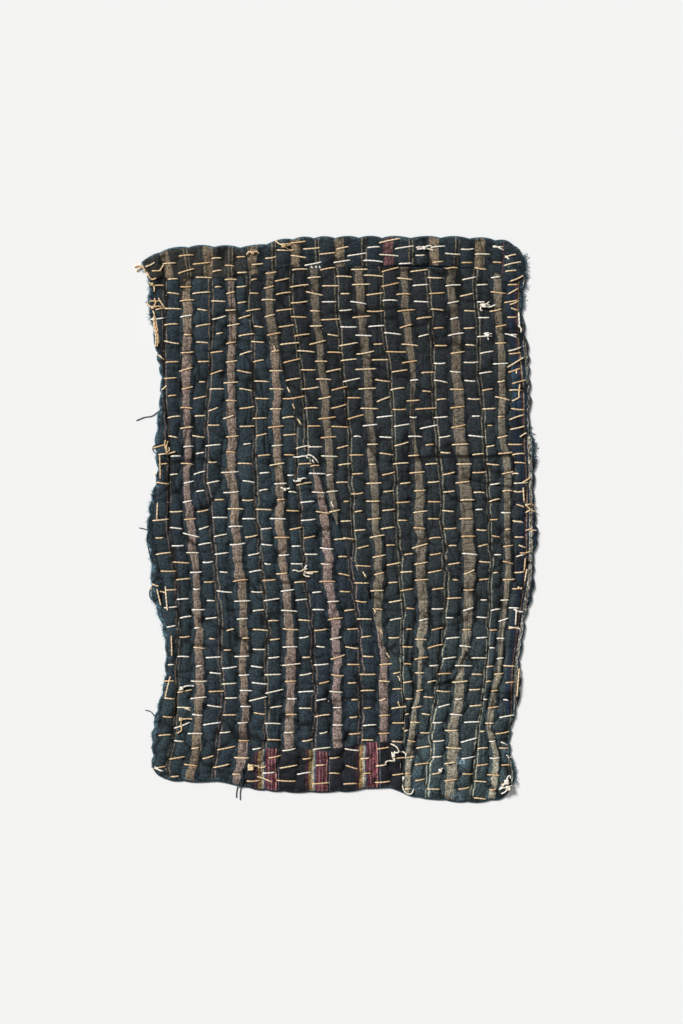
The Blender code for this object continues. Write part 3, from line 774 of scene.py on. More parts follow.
teal = between(*TEAL_FOOT, y + TEAL_WAVES * cloudy(x, y, (25, 30), 36)) * between(*TEAL_FROM, x)
teal = teal * (1 - LESS_TEAL * between(*DIRTY_LEFT, x) * between(*DIRTY_RIGHT, x))
faded = PALE_PATCHES * between(0.2, 0.9, cloudy(x, y, (50, 70), 37)) + PALE_TOP * between(*PALE_FROM, y)
tint = np.maximum(teal, faded + PALE_FOOT * between(*FOOT_FADES, y))
marks = marks_at(x, y, z, right_creased, RIGHT_EDGE_WEAR, tint)
right_cloth = cloth_object("right_striped_cloth", flat, z, threads, RAW_EDGE, marks)
right_cloth.data.materials.append(woven_cotton(
    "right_cotton_plain_woven_grey_indigo", "#202528", "#3C4B4F", "#7E9EA8",
    loom_stripes(RIGHT_STRIPE_HALF, ("#5A5043", "#716656", 0.2), ("#665F50", "#7A7260", 0.2)),
    2 * HALF_REPEAT, ageing=(1.9, 2.3, 2.5)))
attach(right_cloth, "root")
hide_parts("right_cloth")

# The right edge strip
# A narrow strip of navy cotton with one melange stripe of cream and black yarns twisted together and
# a thin red and tan line. It is folded under and whipped down over the right cloth's edge.
STRIP_CHART = (  # y, then x of the red and tan line and of the melange stripe
    (220.0, 161.5, 168.5), (159.0, 161.5, 168.5), (133.0, 164.5, 171.0), (61.0, 167.0, 171.5),
    (26.5, 169.0, 172.5), (-1.5, 168.5, 172.5), (-45.5, 168.0, 172.0), (-78.0, 163.5, 167.5),
    (-110.0, 159.0, 162.5), (-137.0, 155.5, 159.0), (-162.5, 155.0, 158.5),
)
MELANGE = 4.5             # from the red and tan line to the melange stripe, in the thread coordinates
MELANGE_HALF = 1.9
LINE_HALF = 0.35
RED_LINE = -1.2           # from the tan line
STRIP_LIFT = 0.35
FOLD = (0.2, 1.6)         # distances from a seam between which a folded edge stands up
STRIP_TOP = 222.0
STRIP_FOOT = -174.5
STRIP_GRID = (22, 360)
STRIP_PAST = 0.2          # the strip ends this far past the cloths' edge
STRIP_POINTS = 340
STRIP_STRAY = 0.3
strip_side = strip_seam(plane_y)
strip_height = right_height + STRIP_LIFT * between(*FOLD, plane_x - strip_side)
left_y = np.linspace(STRIP_TOP, STRIP_FOOT, STRIP_POINTS)
left_side = line_of(strip_seam(left_y), left_y)
right_side = line_of(right_edge(left_y) - REVEAL + STRIP_PAST, left_y)
head, foot = (np.stack([left_side[end], right_side[end]]) for end in (0, -1))
flat = spread(head, foot, left_side, right_side, *STRIP_GRID)
x, y = flat[..., 0], flat[..., 1]
z = sampled(strip_height, x, y)
line, melange = curve_through(STRIP_CHART, 1, y), curve_through(STRIP_CHART, 2, y)
across = (x - line) * MELANGE / (melange - line) + STRIP_STRAY * cloudy(x, y, (9, 11), 43)
faded = between(-0.2, 1.2, cloudy(x, y, (20, 60), 38))
marks = marks_at(x, y, z, right_creased, RIGHT_EDGE_WEAR, faded)
edge_strip = cloth_object("right_edge_cloth", flat, z, np.stack([across, y], axis=-1), RAW_EDGE, marks)
edge_strip.data.materials.append(woven_cotton(
    "edge_cotton_plain_woven_navy", "#162230", "#283F50", "#6F97A6",
    ((MELANGE, MELANGE_HALF, "#C9C0AE", "#3A3937", 0.05), (0, LINE_HALF, "#83694A", "#97805C", 0.2),
     (RED_LINE, LINE_HALF, "#4C2A34", "#5E3440", 0.2))))
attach(edge_strip, "root")
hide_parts("right_edge_strip")

# The top band
# A strip of near-black cotton with brown stripes and one pink one, folded under and sewn over the
# tops of both cloths. The stitch rows cross it as they cross the cloths below.
BAND_CHART = (  # y, then x of its wide stripes
    (251.5, -161.0, -118.0, -78.0, -39.5, 0.0, 44.5, 85.5, 127.0),
    (219.0, -152.0, -117.5, -77.5, -39.0, 0.5, 44.5, 85.0, 125.5),
)
BAND_STRIPE_HALF = 4.2
PINK_STRIPE = 5
LAST_PINK_LINE = 304.7    # in the thread coordinates
PINK_LINE_HALF = 0.4
BAND_LIFT = 0.5
BAND_FOLD = (0, 1.6)
BAND_LEFT = (230.5, -170.0)         # y of the upper corner, x of the lower one
BAND_RIGHT = (232.0, 164.0)
BAND_POINTS = 300
BAND_SIDE_POINTS = 20
BAND_GRID = (300, 32)
BAND_STRAY = 0.7
NAVY_FROM = (-95, -70)    # the band is browner at its left end
NAVY = 0.8
NAVY_PATCHES = 0.2
BAND_WEAR = 0.2
meeting = between(-1, 1, past_diagonal)
face_height = left_height * (1 - meeting) + right_height * meeting
face_height = np.where(plane_x > strip_side, strip_height, face_height)
face_creased = left_creased * (1 - meeting) + right_creased * meeting
above_band = plane_y - band_seam(plane_x)
band_height = face_height + BAND_LIFT * between(*BAND_FOLD, above_band)
places = range(len(BAND_CHART[0]) - 1)
columns = [curve_through(BAND_CHART, 1 + step, grid_y) for step in places]
repeats = [2 * HALF_REPEAT * step for step in places]
band_threads = np.stack([np.interp(grid_x, [column[row] for column in columns], repeats)
                         for row in range(len(grid_y))])
band_threads += np.maximum(plane_x - columns[-1][:, None], 0)
band_threads += np.minimum(plane_x - columns[0][:, None], 0)
left_y = np.linspace(BAND_LEFT[0], band_seam(BAND_LEFT[1]), BAND_SIDE_POINTS)
right_y = np.linspace(BAND_RIGHT[0], band_seam(BAND_RIGHT[1]), BAND_SIDE_POINTS)
left_side = line_of(left_edge(left_y) + REVEAL, left_y)
right_side = line_of(right_edge(right_y) - REVEAL, right_y)
head_x = np.linspace(left_side[0, 0], right_side[0, 0], BAND_POINTS)
foot_x = np.linspace(left_side[-1, 0], right_side[-1, 0], BAND_POINTS)
head = line_of(head_x, top_edge(head_x) - REVEAL)
foot = line_of(foot_x, band_seam(foot_x))
left_side[0], left_side[-1], right_side[0], right_side[-1] = head[0], foot[0], head[-1], foot[-1]
flat = spread(head, foot, left_side, right_side, *BAND_GRID)
x, y = flat[..., 0], flat[..., 1]
z = sampled(band_height, x, y)
threads = np.stack([sampled(band_threads, x, y) + BAND_STRAY * cloudy(x, y, (9, 9), 44), y], axis=-1)
navy = between(*NAVY_FROM, x) * (NAVY + NAVY_PATCHES * cloudy(x, y, (22, 30), 46))
marks = marks_at(x, y, z, face_creased, BAND_WEAR, navy)
band = cloth_object("top_dark_band", flat, z, threads, RAW_EDGE, marks)
band_stripes = [(middle, BAND_STRIPE_HALF, "#605342", "#84755F", 0.16) for middle in repeats]
band_stripes[PINK_STRIPE] = (repeats[PINK_STRIPE], BAND_STRIPE_HALF, "#55383A", "#7A5452", 0.14)
band_stripes.append((LAST_PINK_LINE, PINK_LINE_HALF, "#5C3A45", "#7A5260", 0.2))
for middle in repeats[:-1]:
    for offset in (-TWIN_OFFSET, TWIN_OFFSET):
        band_stripes.append((middle + HALF_REPEAT + offset, TWIN_HALF, "#6A5F4C", "#7E725C", 0.2))
band.data.materials.append(woven_cotton(
    "band_cotton_plain_woven_black_and_brown", "#2C2D2A", "#1B2830", "#7F9AA2", band_stripes))
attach(band, "root")
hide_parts("top_band")

# The bottom patch
# A scrap of near-black cotton with burgundy, gold, cream and teal stripes, its edges turned under,
# sewn over the foot of the left cloth where it had worn through.
PATCH_TOP = (  # x, y
    (-85.0, -226.0), (-83.0, -218.0), (-76.5, -210.0), (-64.0, -205.5), (-47.5, -206.5),
    (-38.5, -204.0), (-18.0, -208.5), (-8.0, -209.0), (-5.5, -205.5), (9.0, -204.5), (25.0, -201.0),
    (46.0, -199.5), (54.0, -204.0), (55.5, -212.0),
)
PATCH_REPEAT = 45.5
PATCH_STRIPES = (         # middle from a gold line, half width, two yarn colours, how mixed they are
    (-2.9, 1.6, "#33202A", "#4A2A34", 0.2), (0, 1.2, "#7A5C30", "#A08150", 0.2),
    (9.5, 4.7, "#4E212C", "#6E3640", 0.16), (8.3, 0.35, "#865F60", "#A58484", 0.2),
    (11.0, 0.3, "#865F60", "#9C7C7C", 0.2), (2.7, 1.35, "#8C8270", "#AA9E88", 0.2),
    (4.5, 0.55, "#2F4858", "#3F6072", 0.2), (14.4, 0.5, "#A87068", "#C08C84", 0.2),
    (16.9, 0.3, "#55555C", "#6A6A70", 0.2),
)
FIRST_GOLD = -71.3        # x of the leftmost gold line
PATCH_LIFT = 0.45
PATCH_FOOT = (-84.5, 55.4)          # x of its two lower corners
PATCH_POINTS = 160
LEFT_TURN = 14            # points of its upper edge that turn down at the left
RIGHT_TURN = 10
PATCH_GRID = (125, 42)
OVER_SEAM = 0.5           # it stands this high over a furrow where it meets the diagonal seam
PATCH_STRAY = 0.6
PATCH_WEAR = 0.15
patch_top = spaced(PATCH_TOP, PATCH_POINTS)
head = patch_top[LEFT_TURN:-RIGHT_TURN]
corners = [[(x, bottom_edge(x) + REVEAL)] for x in PATCH_FOOT]
left_side = np.concatenate([head[:1], patch_top[LEFT_TURN - 1::-1], corners[0]])
right_side = np.concatenate([head[-1:], patch_top[-RIGHT_TURN:], corners[1]])
foot_x = np.linspace(*PATCH_FOOT, PATCH_POINTS)
foot = line_of(foot_x, bottom_edge(foot_x) + REVEAL)
flat = spread(head, foot, left_side, right_side, *PATCH_GRID)
x, y = flat[..., 0], flat[..., 1]
z = sampled(left_height, x, y) + PATCH_LIFT * between(0.0, 2.0, away_from(PATCH_TOP, x, y) + 0.4)
z = np.where(sampled(past_diagonal, x, y) > -2, np.maximum(z, EDGE_HEIGHT + OVER_SEAM), z)
threads = np.stack([x - FIRST_GOLD + PATCH_STRAY * cloudy(x, y, (9, 9), 45), y], axis=-1)
marks = marks_at(x, y, z, left_creased, PATCH_WEAR, 0 * x)
patch = cloth_object("bottom_striped_patch", flat, z, threads, RAW_EDGE, marks)
patch.data.materials.append(woven_cotton(
    "patch_cotton_plain_woven_burgundy_and_gold", "#16171D", "#16171D", "#7A8C96", PATCH_STRIPES,
    PATCH_REPEAT))
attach(patch, "root")
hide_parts("bottom_patch")

# The backing cloth
# One full-size rag of worn indigo cotton laid under all the others and sewn through with them. The
# stitches that lie on its side pinch it up from the table, and its raw edge turns up round the rag.
BACKING_PINCH = 1.25
PINCH_SPREAD = 2.1
PINCH_CELLS = 8
BACKING_FOLDS = (0.28, 0.22)        # mean height of its underside, and how far it goes up and down
UPTURNED_EDGE = (         # distance outward, height above the table
    (0.5, 0.5), (0.6, 1.0), (0.3, 1.4), (-1.0, 1.5), (-4.0, 1.45), (-8.0, 1.45),
)
BACKING_LEFT = (230.5, -221)        # y of its two left corners
BACKING_RIGHT = (232, -230)
BACKING_GRID = (200, 280)
BACKING_STRAY = 0.4
BACKING_WEAR = 0.25
RIM_WEAR = 0.2
back_height = BACKING_FOLDS[0] + BACKING_FOLDS[1] * cloudy(plane_x, plane_y, (5, 12), 24)
for start, low, end, high, _, behind in left_stitches + right_stitches:
    if behind:
        first = column_at(start)
        last = first + int((end - start) / CELL)
        window = np.s_[max(row_at(low) - PINCH_CELLS, 0):row_at(low) + PINCH_CELLS + 1,
                       max(first - PINCH_CELLS, 0):last + PINCH_CELLS]
        reach = away_from(((start, low), (end, high)), plane_x[window], plane_y[window])
        pinch = BACKING_PINCH * np.exp(-(reach / PINCH_SPREAD) ** 2)
        back_height[window] = np.maximum(back_height[window], pinch)
left_y = np.linspace(*BACKING_LEFT, SIDE_POINTS)
right_y = np.linspace(*BACKING_RIGHT, SIDE_POINTS)
head_x = np.linspace(left_edge(left_y[0]), right_edge(right_y[0]), BAND_POINTS)
foot_x = np.linspace(left_edge(left_y[-1]), right_edge(right_y[-1]), BAND_POINTS)
head = line_of(head_x, top_edge(head_x))
foot = line_of(foot_x, bottom_edge(foot_x))
left_side = np.concatenate([head[:1], line_of(left_edge(left_y), left_y)[1:-1], foot[:1]])
right_side = np.concatenate([head[-1:], line_of(right_edge(right_y), right_y)[1:-1], foot[-1:]])
flat = spread(head, foot, left_side, right_side, *BACKING_GRID)
x, y = flat[..., 0], flat[..., 1]
threads = flat + BACKING_STRAY * np.stack([cloudy(x, y, (8, 8), seed) for seed in (25, 26)], axis=-1)
rubbed = BACKING_WEAR * (0.5 + 0.5 * cloudy(x, y, (6, 9), 27) * cloudy(x, y, (30, 30), 28))
rubbed[:, :2] = rubbed[:, -2:] = RIM_WEAR
z = sampled(back_height, x, y)
# Painted shade where the back stitches pinch the backing up off the table.
marks = {"wear": rubbed, "tint": between(-0.6, 0.8, cloudy(x, y, (60, 80), 29)),
         "shade_and_dust": between(0.4, 1.2, z)}
backing = cloth_object("backing_rag", flat, z, threads, UPTURNED_EDGE, marks, True)
backing.data.materials.append(woven_cotton(
    "backing_cotton_plain_woven_worn_indigo", "#20333F", "#35505E", "#6C95A3"))
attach(backing, "root")
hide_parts("backing_cloth")

# The running stitches
# Hand-sewn rows of thick cotton thread, most of it tan and some white, through every layer. Each stitch
# lies across one puffed rib and goes down in the furrows beside it; the next one along the row lies on
# the back of the rag.
THREAD_RADIUS = 0.66
TUBE_SIDES = 6
END_TAPER = 0.72          # of a thread's radius at its cut ends
STITCH_STEPS = (0, 0.05, 0.13, 0.27, 0.42, 0.58, 0.73, 0.87, 0.95, 1)
BACK_STEPS = (0, 0.1, 0.25, 0.5, 0.75, 0.9, 1)
BACK_DEPTH = 1.55         # height of a back stitch's ends
BACK_SAG = 0.85           # how much lower it lies between them
BACK_ENDS = (0, 0.16)
BITE = 0.75               # how deep the ends of a stitch go into the cloth
COMES_OUT = (0, 0.14)     # over this part of its length
STANDS = 0.8              # of its radius by which its middle stands off the cloth
BOW = 0.25                # spread of how far a stitch bends sideways
PLY_SLANT = 1.6
THREAD_TWIST = 3.4        # length of one turn of its two plies
THREAD_RUN = 95.0         # about how far a length of one colour goes along a row
RUN_SHIFT = 37            # how far the lengths shift from row to row
RUN_SHIFTS = 90
WHITE_SHARE = 0.07        # of the thread, outside these areas
WHITE_AREAS = (           # left, right, bottom, top, share of white thread
    (-152.0, 1.0, -203.0, 71.5, 0.62), (82.0, 145.0, 71.5, 222.0, 0.45), (1.0, 82.0, 157.0, 197.0, 0.45),
    (1.0, 82.0, 71.5, 125.0, 0.4), (82.0, 154.0, -225.0, -72.0, 0.5), (10.0, 145.0, 236.0, 256.0, 0.9),
    (-85.0, 56.0, -246.0, -203.0, 0.4), (145.0, 160.0, -225.0, -60.0, 0.5),
)
patch_edge = np.interp(plane_x, [x for x, _ in PATCH_TOP], [y for _, y in PATCH_TOP])
in_patch = (plane_y < patch_edge) & (plane_x > PATCH_TOP[0][0]) & (plane_x < PATCH_TOP[-1][0])
top_height = np.where(above_band > 0, band_height, face_height) + PATCH_LIFT * in_patch
top_height = np.where(from_edge > -REVEAL, top_height, 0)


def thread_object(name, paths, radius, sides, material):
    """All the threads of one kind as one piece: a closed round tube along each path of points."""
    points, faces, bake, twist, tones = [], [], [], [], []
    random = np.random.default_rng(len(paths))
    cells = math.ceil(math.sqrt(len(paths)))
    turn = np.arange(sides) * 2 * math.pi / sides
    round_twice = np.arange(sides + 1) / sides
    for place, path in enumerate(paths):
        path = np.asarray(path, float)
        count = len(path)
        ahead = np.gradient(path, axis=0)
        ahead /= np.linalg.norm(ahead, axis=1, keepdims=True) + 1e-9
        first = len(points) * sides
        aside = np.cross(ahead[0], (0, 0, 1)) + (0, 1e-6, 0)
        run = np.concatenate([[0], np.cumsum(np.linalg.norm(np.diff(path, axis=0), axis=1))])
        for step in range(count):
            aside = aside - ahead[step] * aside.dot(ahead[step])
            aside /= np.linalg.norm(aside)
            up = np.cross(aside, ahead[step])
            thick = radius * (END_TAPER if step in (0, count - 1) else 1)
            ring = np.outer(np.cos(turn), aside) + np.outer(np.sin(turn), up)
            points.append(path[step] + thick * ring)
        corner = (place % cells / cells, place // cells / cells)
        along = 0.02 + 0.86 * run / run[-1]
        for step in range(count - 1):
            for side in range(sides):
                near, far = first + step * sides, first + (step + 1) * sides
                after = (side + 1) % sides
                faces.append((near + side, near + after, far + after, far + side))
                for u, v in ((side, step), (side + 1, step), (side + 1, step + 1), (side, step + 1)):
                    bake.append((corner[0] + (0.03 + 0.9 * round_twice[u]) / cells,
                                 corner[1] + along[v] / cells))
                    twist.append((round_twice[u] * 2 * math.pi * radius, run[v]))
        for start, order in ((first, range(sides - 1, -1, -1)), (first + (count - 1) * sides, range(sides))):
            faces.append(tuple(start + side for side in order))
            middle = 0.25 if start == first else 0.7
            for side in order:
                bake.append((corner[0] + (middle + 0.05 * math.cos(turn[side])) / cells,
                             corner[1] + (0.94 + 0.05 * math.sin(turn[side])) / cells))
                twist.append((0, 0))
        tones += [random.random()] * count * sides
    mesh = bpy.data.meshes.new(name)
    mesh.from_pydata((np.concatenate(points) * MM).tolist(), [], faces)
    mesh.shade_smooth()
    mesh.uv_layers.new(name="OFBake").data.foreach_set("uv", np.ravel(bake).astype(np.float32))
    mesh.uv_layers.new(name="weave").data.foreach_set("uv", np.ravel(twist).astype(np.float32))
    mesh.attributes.new("tone", "FLOAT", "POINT").data.foreach_set("value", tones)
    mesh.materials.append(material)
    piece = bpy.data.objects.new(name, mesh)
    bpy.context.scene.collection.objects.link(piece)
    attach(piece, "root")
    return piece


def twisted_thread(name, darker, lighter, groove_shade, twist_length):
    """Spun cotton thread: two plies twisted together, so slanting grooves run round it, painted darker as
    shade, with a soft dull surface and a tone that differs a little from one length to the next."""
    material = bpy.data.materials.new(name)
    material.use_nodes = True
    tree = material.node_tree
    shader = tree.nodes["Principled BSDF"]
    shader.inputs["Roughness"].default_value = 0.85
    shader.inputs["Specular IOR Level"].default_value = 0.3
    shader.inputs["Sheen Weight"].default_value = 0.05
    uv = add_node(tree, "ShaderNodeUVMap", {"uv_map": "weave"}).outputs[0]
    girth, length = add_node(tree, "ShaderNodeSeparateXYZ", inputs={0: uv}).outputs[:2]
    tone = add_node(tree, "ShaderNodeAttribute", {"attribute_name": "tone"}).outputs["Fac"]
    slant = maths(tree, "MULTIPLY", girth, PLY_SLANT)
    twist = maths(tree, "MULTIPLY_ADD", length, 2 * math.pi / twist_length, slant)
    plies = maths(tree, "SINE", twist)
    colour = mixed_colour(tree, tone, darker, lighter)
    # Painted shade in the grooves between the two plies.
    colour = mixed_colour(tree, ranged(tree, plies, -1, 0.2, 0.4, 0), colour, groove_shade)
    tree.links.new(colour, shader.inputs["Base Color"])
    bump = add_node(tree, "ShaderNodeBump", inputs={"Height": plies, "Distance": 0.00018, "Strength": 0.7})
    tree.links.new(bump.outputs[0], shader.inputs["Normal"])
    return material


def stitch_path(start, end, bow):
    """A stitch on the face: up out of the cloth, over it and down again."""
    t = np.array(STITCH_STEPS)
    x = start[0] + (end[0] - start[0]) * t
    y = start[1] + (end[1] - start[1]) * t + bow * np.sin(math.pi * t)
    out = between(*COMES_OUT, np.minimum(t, 1 - t))
    z = sampled(top_height, x, y)
    taut = np.maximum(z, 0.5 * (z + np.convolve(np.pad(z, 2, mode="edge"), np.full(5, 0.2), mode="valid")))
    height = taut - BITE + (BITE + STANDS * THREAD_RADIUS) * out
    return np.stack([x, y, np.maximum(height, THREAD_RADIUS)], axis=1)


def is_white(x, y, row):
    """Whether the length of thread that runs through this place in this row is a white one."""
    share = WHITE_SHARE
    for left, right, low, high, part in WHITE_AREAS:
        if left < x < right and low < y < high:
            share = part
    length_of_thread = int((x + 400 + RUN_SHIFT * row % RUN_SHIFTS) // THREAD_RUN)
    return np.random.default_rng(100 * row + length_of_thread).random() < share


tan_paths, white_paths = [], []
random = np.random.default_rng(70)
for start, low, end, high, row, behind in left_stitches + right_stitches:
    bow = random.normal(0, BOW)
    if behind:
        t = np.array(BACK_STEPS)
        y = low + (high - low) * t + bow * np.sin(math.pi * t)
        z = BACK_DEPTH - BACK_SAG * between(*BACK_ENDS, np.minimum(t, 1 - t))
        path = np.stack([start + (end - start) * t, y, z], axis=1)
    else:
        path = stitch_path((start, low), (end, high), bow)
    (white_paths if is_white((start + end) / 2, low, row) else tan_paths).append(path)
# The third colour of each thread is the painted shade in its ply grooves.
tan_thread = twisted_thread("tan_cotton_thread_two_ply", "#D9B588", "#F4E0BC", "#BC976A", THREAD_TWIST)
white_thread = twisted_thread("white_cotton_thread_two_ply", "#EADFC8", "#FBF7EF", "#CFC3AC", THREAD_TWIST)

# The seam and edge stitches
# Small slanting stitches of the same threads that hold down the diagonal seam, the worn left edge and
# the folded strip on the right; they lie at odd angles, some along the edge and some across it.
TAN_SEAM_STITCHES = (  # x, y of one end, x, y of the other
    (-58.5, 156.0, -56.0, 151.0), (-46.5, 119.0, -44.0, 114.0), (-41.5, 104.0, -39.5, 99.5),
    (-37.0, 90.5, -33.5, 85.0), (21.5, -47.0, 24.5, -52.0), (30.5, -79.5, 33.5, -84.0),
    (37.0, -98.5, 39.5, -103.0), (43.0, -120.0, 46.0, -124.5), (53.0, -141.0, 55.0, -145.5),
    (53.0, -163.5, 55.0, -168.0), (57.5, -187.0, 58.5, -192.0),
    (-176.5, 226.5, -168.5, 215.0), (-174.0, 227.0, -165.5, 231.0), (-161.5, 223.0, -157.5, 229.5),
    (-162.5, 199.5, -156.0, 189.5), (-165.0, 188.5, -156.0, 190.5), (-165.5, 184.5, -162.5, 167.5),
    (-162.5, 167.5, -162.0, 158.0), (-162.5, 148.0, -157.0, 143.5), (-159.5, 116.5, -155.0, 120.5),
    (-161.0, 58.0, -160.5, 36.5), (-163.0, 15.0, -163.5, -0.5), (-156.0, -60.0, -154.0, -82.5),
    (-168.0, -58.0, -162.0, -60.0), (-163.5, -62.5, -160.0, -77.5), (-161.0, -64.5, -155.0, -66.0),
    (-150.5, -104.0, -150.0, -123.0), (-151.5, -141.0, -156.5, -161.5),
    (148.0, 228.0, 164.0, 231.5), (153.5, 214.0, 166.0, 219.5), (152.0, 202.5, 161.0, 207.5),
    (153.5, 193.0, 161.5, 196.5), (154.5, 190.0, 161.0, 188.0), (151.0, 136.5, 166.5, 146.0),
    (159.5, 135.5, 159.5, 131.0), (155.5, 122.0, 168.5, 125.5), (162.5, 122.0, 161.5, 110.0),
    (155.5, 106.5, 163.0, 110.5), (153.0, 89.5, 166.5, 94.0), (162.5, 74.0, 169.0, 78.0),
    (155.5, 58.0, 167.5, 59.0), (155.5, 41.0, 161.5, 41.0), (164.5, 33.0, 172.5, 38.0),
    (157.0, 25.5, 165.5, 25.5), (165.5, 29.0, 166.5, 15.0), (159.5, 13.5, 166.5, 11.0),
    (167.5, 6.0, 173.5, 9.5), (157.0, -2.0, 164.5, -2.0), (167.5, -10.0, 173.5, -7.5),
    (161.5, -23.0, 168.5, -25.5), (162.5, -30.0, 172.5, -28.5), (167.5, -34.5, 166.5, -46.5),
    (169.0, -44.5, 167.0, -56.0), (161.0, -60.5, 164.5, -62.5), (-73.8, -230.8, -59.4, -236.3),
    (-139.0, -170.0, -133.0, -172.0), (162.0, -134.0, 160.0, -160.0),
)
WHITE_SEAM_STITCHES = (
    (138.5, 246.0, 148.5, 241.5), (149.5, 237.0, 153.0, 233.5), (161.5, 187.5, 162.5, 173.0),
    (149.0, 167.0, 160.0, 163.5), (152.0, 151.5, 164.0, 155.0), (157.0, -80.5, 165.5, -83.0),
    (159.5, -80.5, 158.5, -95.0), (152.5, -96.5, 163.5, -98.5), (145.5, -200.0, 151.5, -203.0),
    (150.5, -212.0, 153.0, -215.0), (-7.0, 16.0, -4.5, 11.0), (-24.7, 227.6, -23.5, 226.2),
    (-21.0, 227.5, -19.8, 226.1), (-17.4, 227.6, -16.4, 226.2),
)
SEAM_BOW = 0.4
for stitches, paths in ((TAN_SEAM_STITCHES, tan_paths), (WHITE_SEAM_STITCHES, white_paths)):
    for start_x, start_y, end_x, end_y in stitches:
        paths.append(stitch_path((start_x, start_y), (end_x, end_y), random.normal(0, SEAM_BOW)))

# The knots and tails
# Ends of the sewing thread, knotted on the face in small tight lumps, with cut tails and a few loops
# left lying on the cloth.
TAN_KNOTS = (             # x, y, radius, then points of each tail from the knot
    (-176.5, 227.5, 0.9, (((0, 0), (-4, 1.2), (-8.6, -0.4)), ((0, 0), (-4, -1.6), (-6.5, -4.6)),
                          ((0, 0), (3.5, -5.5), (8, -12.5), (12.5, -10.5)))),
    (-168.0, 211.5, 1.2, (((0, 0), (-3, 1.6)), ((0, 0), (2.2, -3), (1.6, -6)))),
    (-167.5, 190.5, 1.1, (((0, 0), (3, 3.4), (1.4, 7.4)), ((0, 0), (-3.4, 1.8), (-5, 5)),
                          ((0, 0), (4, 1.4), (9, 0.6)))),
    (-166.5, 180.0, 1.3, (((0, 0), (1.2, 5), (-1, 9)), ((0, 0), (1.6, -8), (4, -16), (3.2, -25)),
                          ((0, 0), (0.2, -8), (2.6, -17), (1.6, -27)))),
    (-77.5, 239.5, 1.3, (((0, 0), (4, 2), (7, -1)), ((0, 0), (-4, 1.5), (-6, -2)))),
    (-49.5, 246.0, 2.0, (((0, 0), (4, 2.2), (7.5, 1.6), (5, 0.4), (1, 0)), ((0, 0), (6, -5), (10, -4)),
                         ((0, 0), (-5, 2), (-7, 5)))),
    (-154.4, 60.8, 1.0, (((0, -2), (-4, -2.3), (-9, -3)), ((0, -2), (3.2, -0.9), (7.2, 0.1)),
                         ((0, -2), (-1.8, 4.5), (-2.3, 8.6), (-1.5, 11.3)),
                         ((0.5, -1), (2.7, 2.3), (1.4, 4.5)), ((0, 0), (-0.9, 5.4), (0.6, 9.9)))),
    (-142.2, -179.6, 1.5, (((0, 0), (5, 0.6), (10, 0.2)), ((0, 0), (0.5, -6), (1.2, -9.5), (-3, -12)))),
    (-79.2, -222.7, 3.1, (((0, 0), (5, 2.4), (9, -1.2), (14, 1)), ((0, 0), (-2, 3)))),
    (168.5, 13.0, 0.9, (((0, 0), (4, 1), (7, -1)), ((0, 0), (3, -4), (8, -6)))),
)
WHITE_KNOTS = (
    (-141.3, -151.7, 1.6, (((0, 0), (4, 2.5), (11, 2)), ((0, 0), (-3, -2)))),
    (-163.4, -223.7, 0.9, (((0, 0), (3, -2), (6, -2.4)), ((0, 0), (-2.5, 1.5)))),
    (162.0, 174.0, 0.6, (((0, 0), (2, -2.5), (1.6, -6)),)),
    (76.5, 244.0, 1.5, (((0, 0), (4, 2.4), (7, 1.2)), ((0, 0), (5, -1), (8, -2.2)),
                        ((0, 0), (-5, 1), (-8, 0.2)), ((0, 0), (-4, -1.4), (-7, -1.2)))),
    (130.5, 192.2, 1.8, (((0, 0), (2.5, 1.5), (4, 3.2)), ((2, 1.5), (5.8, 0.3)),
                         ((0, -0.5), (5.4, -1.6), (8.5, 0), (10.6, 0.7)), ((0, 0), (-2, 2), (-4.5, 0.5)),
                         ((-1.5, 0.5), (-3.6, -1.5), (-3.4, -5), (-1.4, -4.6)))),
    (133.1, 166.1, 2.1, (((0, 0), (2.5, 0.7), (4.6, 0.9)), ((0, 0), (0.6, -2.6), (1.2, -4.2)),
                         ((0, 0), (-3, 1)))),
    (-29.5, 56.8, 0.6, (((0, 0), (-3.4, 0.1), (-7, -0.9), (-11.3, -0.7)), ((0, 0), (2.7, -2.5)),
                        ((0.7, 0.4), (1.6, 1.3), (4.7, 0.4), (7.2, -1.9), (9.7, -5)),
                        ((6.3, -3.7), (8.3, -7)))),
    (-35.5, 35.5, 1.6, (((0, 0), (4, 2), (6, 1)), ((0, 0), (-4, -2), (-6, 0)))),
    (-48.5, 27.0, 1.2, (((0, 0), (4, 1)), ((0, 0), (-4, 2)))),
    (-30.6, -47.3, 1.0, (((0, 0), (-0.4, 3.7), (-3.2, 1), (-6.7, 0.5), (-10.3, 2.4), (-12.8, 1.4)),
                         ((-0.4, 2.7), (0.2, 4.2), (2.1, 6.3)), ((0, 3.2), (2.7, 3.5)),
                         ((0, 0), (1.8, -1.3), (8.1, -1.5)), ((0, 0.5), (-2, -2), (1.8, -4.5), (5.3, -4.3)))),
    (49.0, -212.0, 1.6, (((0, 2.8), (5.9, 3.2), (5.5, 5.8), (3.6, 9), (0.9, 10.8), (-3, 12.2)),
                         ((5.5, 3), (8.5, 2.7), (10.3, 0.5), (9.4, -2.5)),
                         ((-1.8, 3.6), (-0.9, 0), (0.4, -4.5)), ((1, 3.4), (0.4, 0), (0.9, -4.8)),
                         ((0.4, -5.2), (-6.8, -5), (-7.6, -7.9)))),
    (91.0, -225.5, 1.4, (((0, 0), (2, 2)),)),
    (150.5, -236.0, 2.2, (((0, 0), (1, 5), (3.5, 6.5), (4, 3)), ((0, 0), (-3, -3), (-6, -6)))),
    (152.0, -241.5, 2.4, (((0, 0), (3, 3), (5.5, 2.5)), ((0, 0), (-5, 1), (-8, -1.5)),
                          ((0, 0), (-3, -4), (-7, -5.5)))),
    (58.0, -232.0, 0.8, (((0, 0), (-1.4, -7), (2, -13.5), (7, -14.2), (8.6, -9.5)),)),
)
TAIL_LIFT = 0.75
TAIL_HOP = 0.7            # how high a tail can arch off the cloth
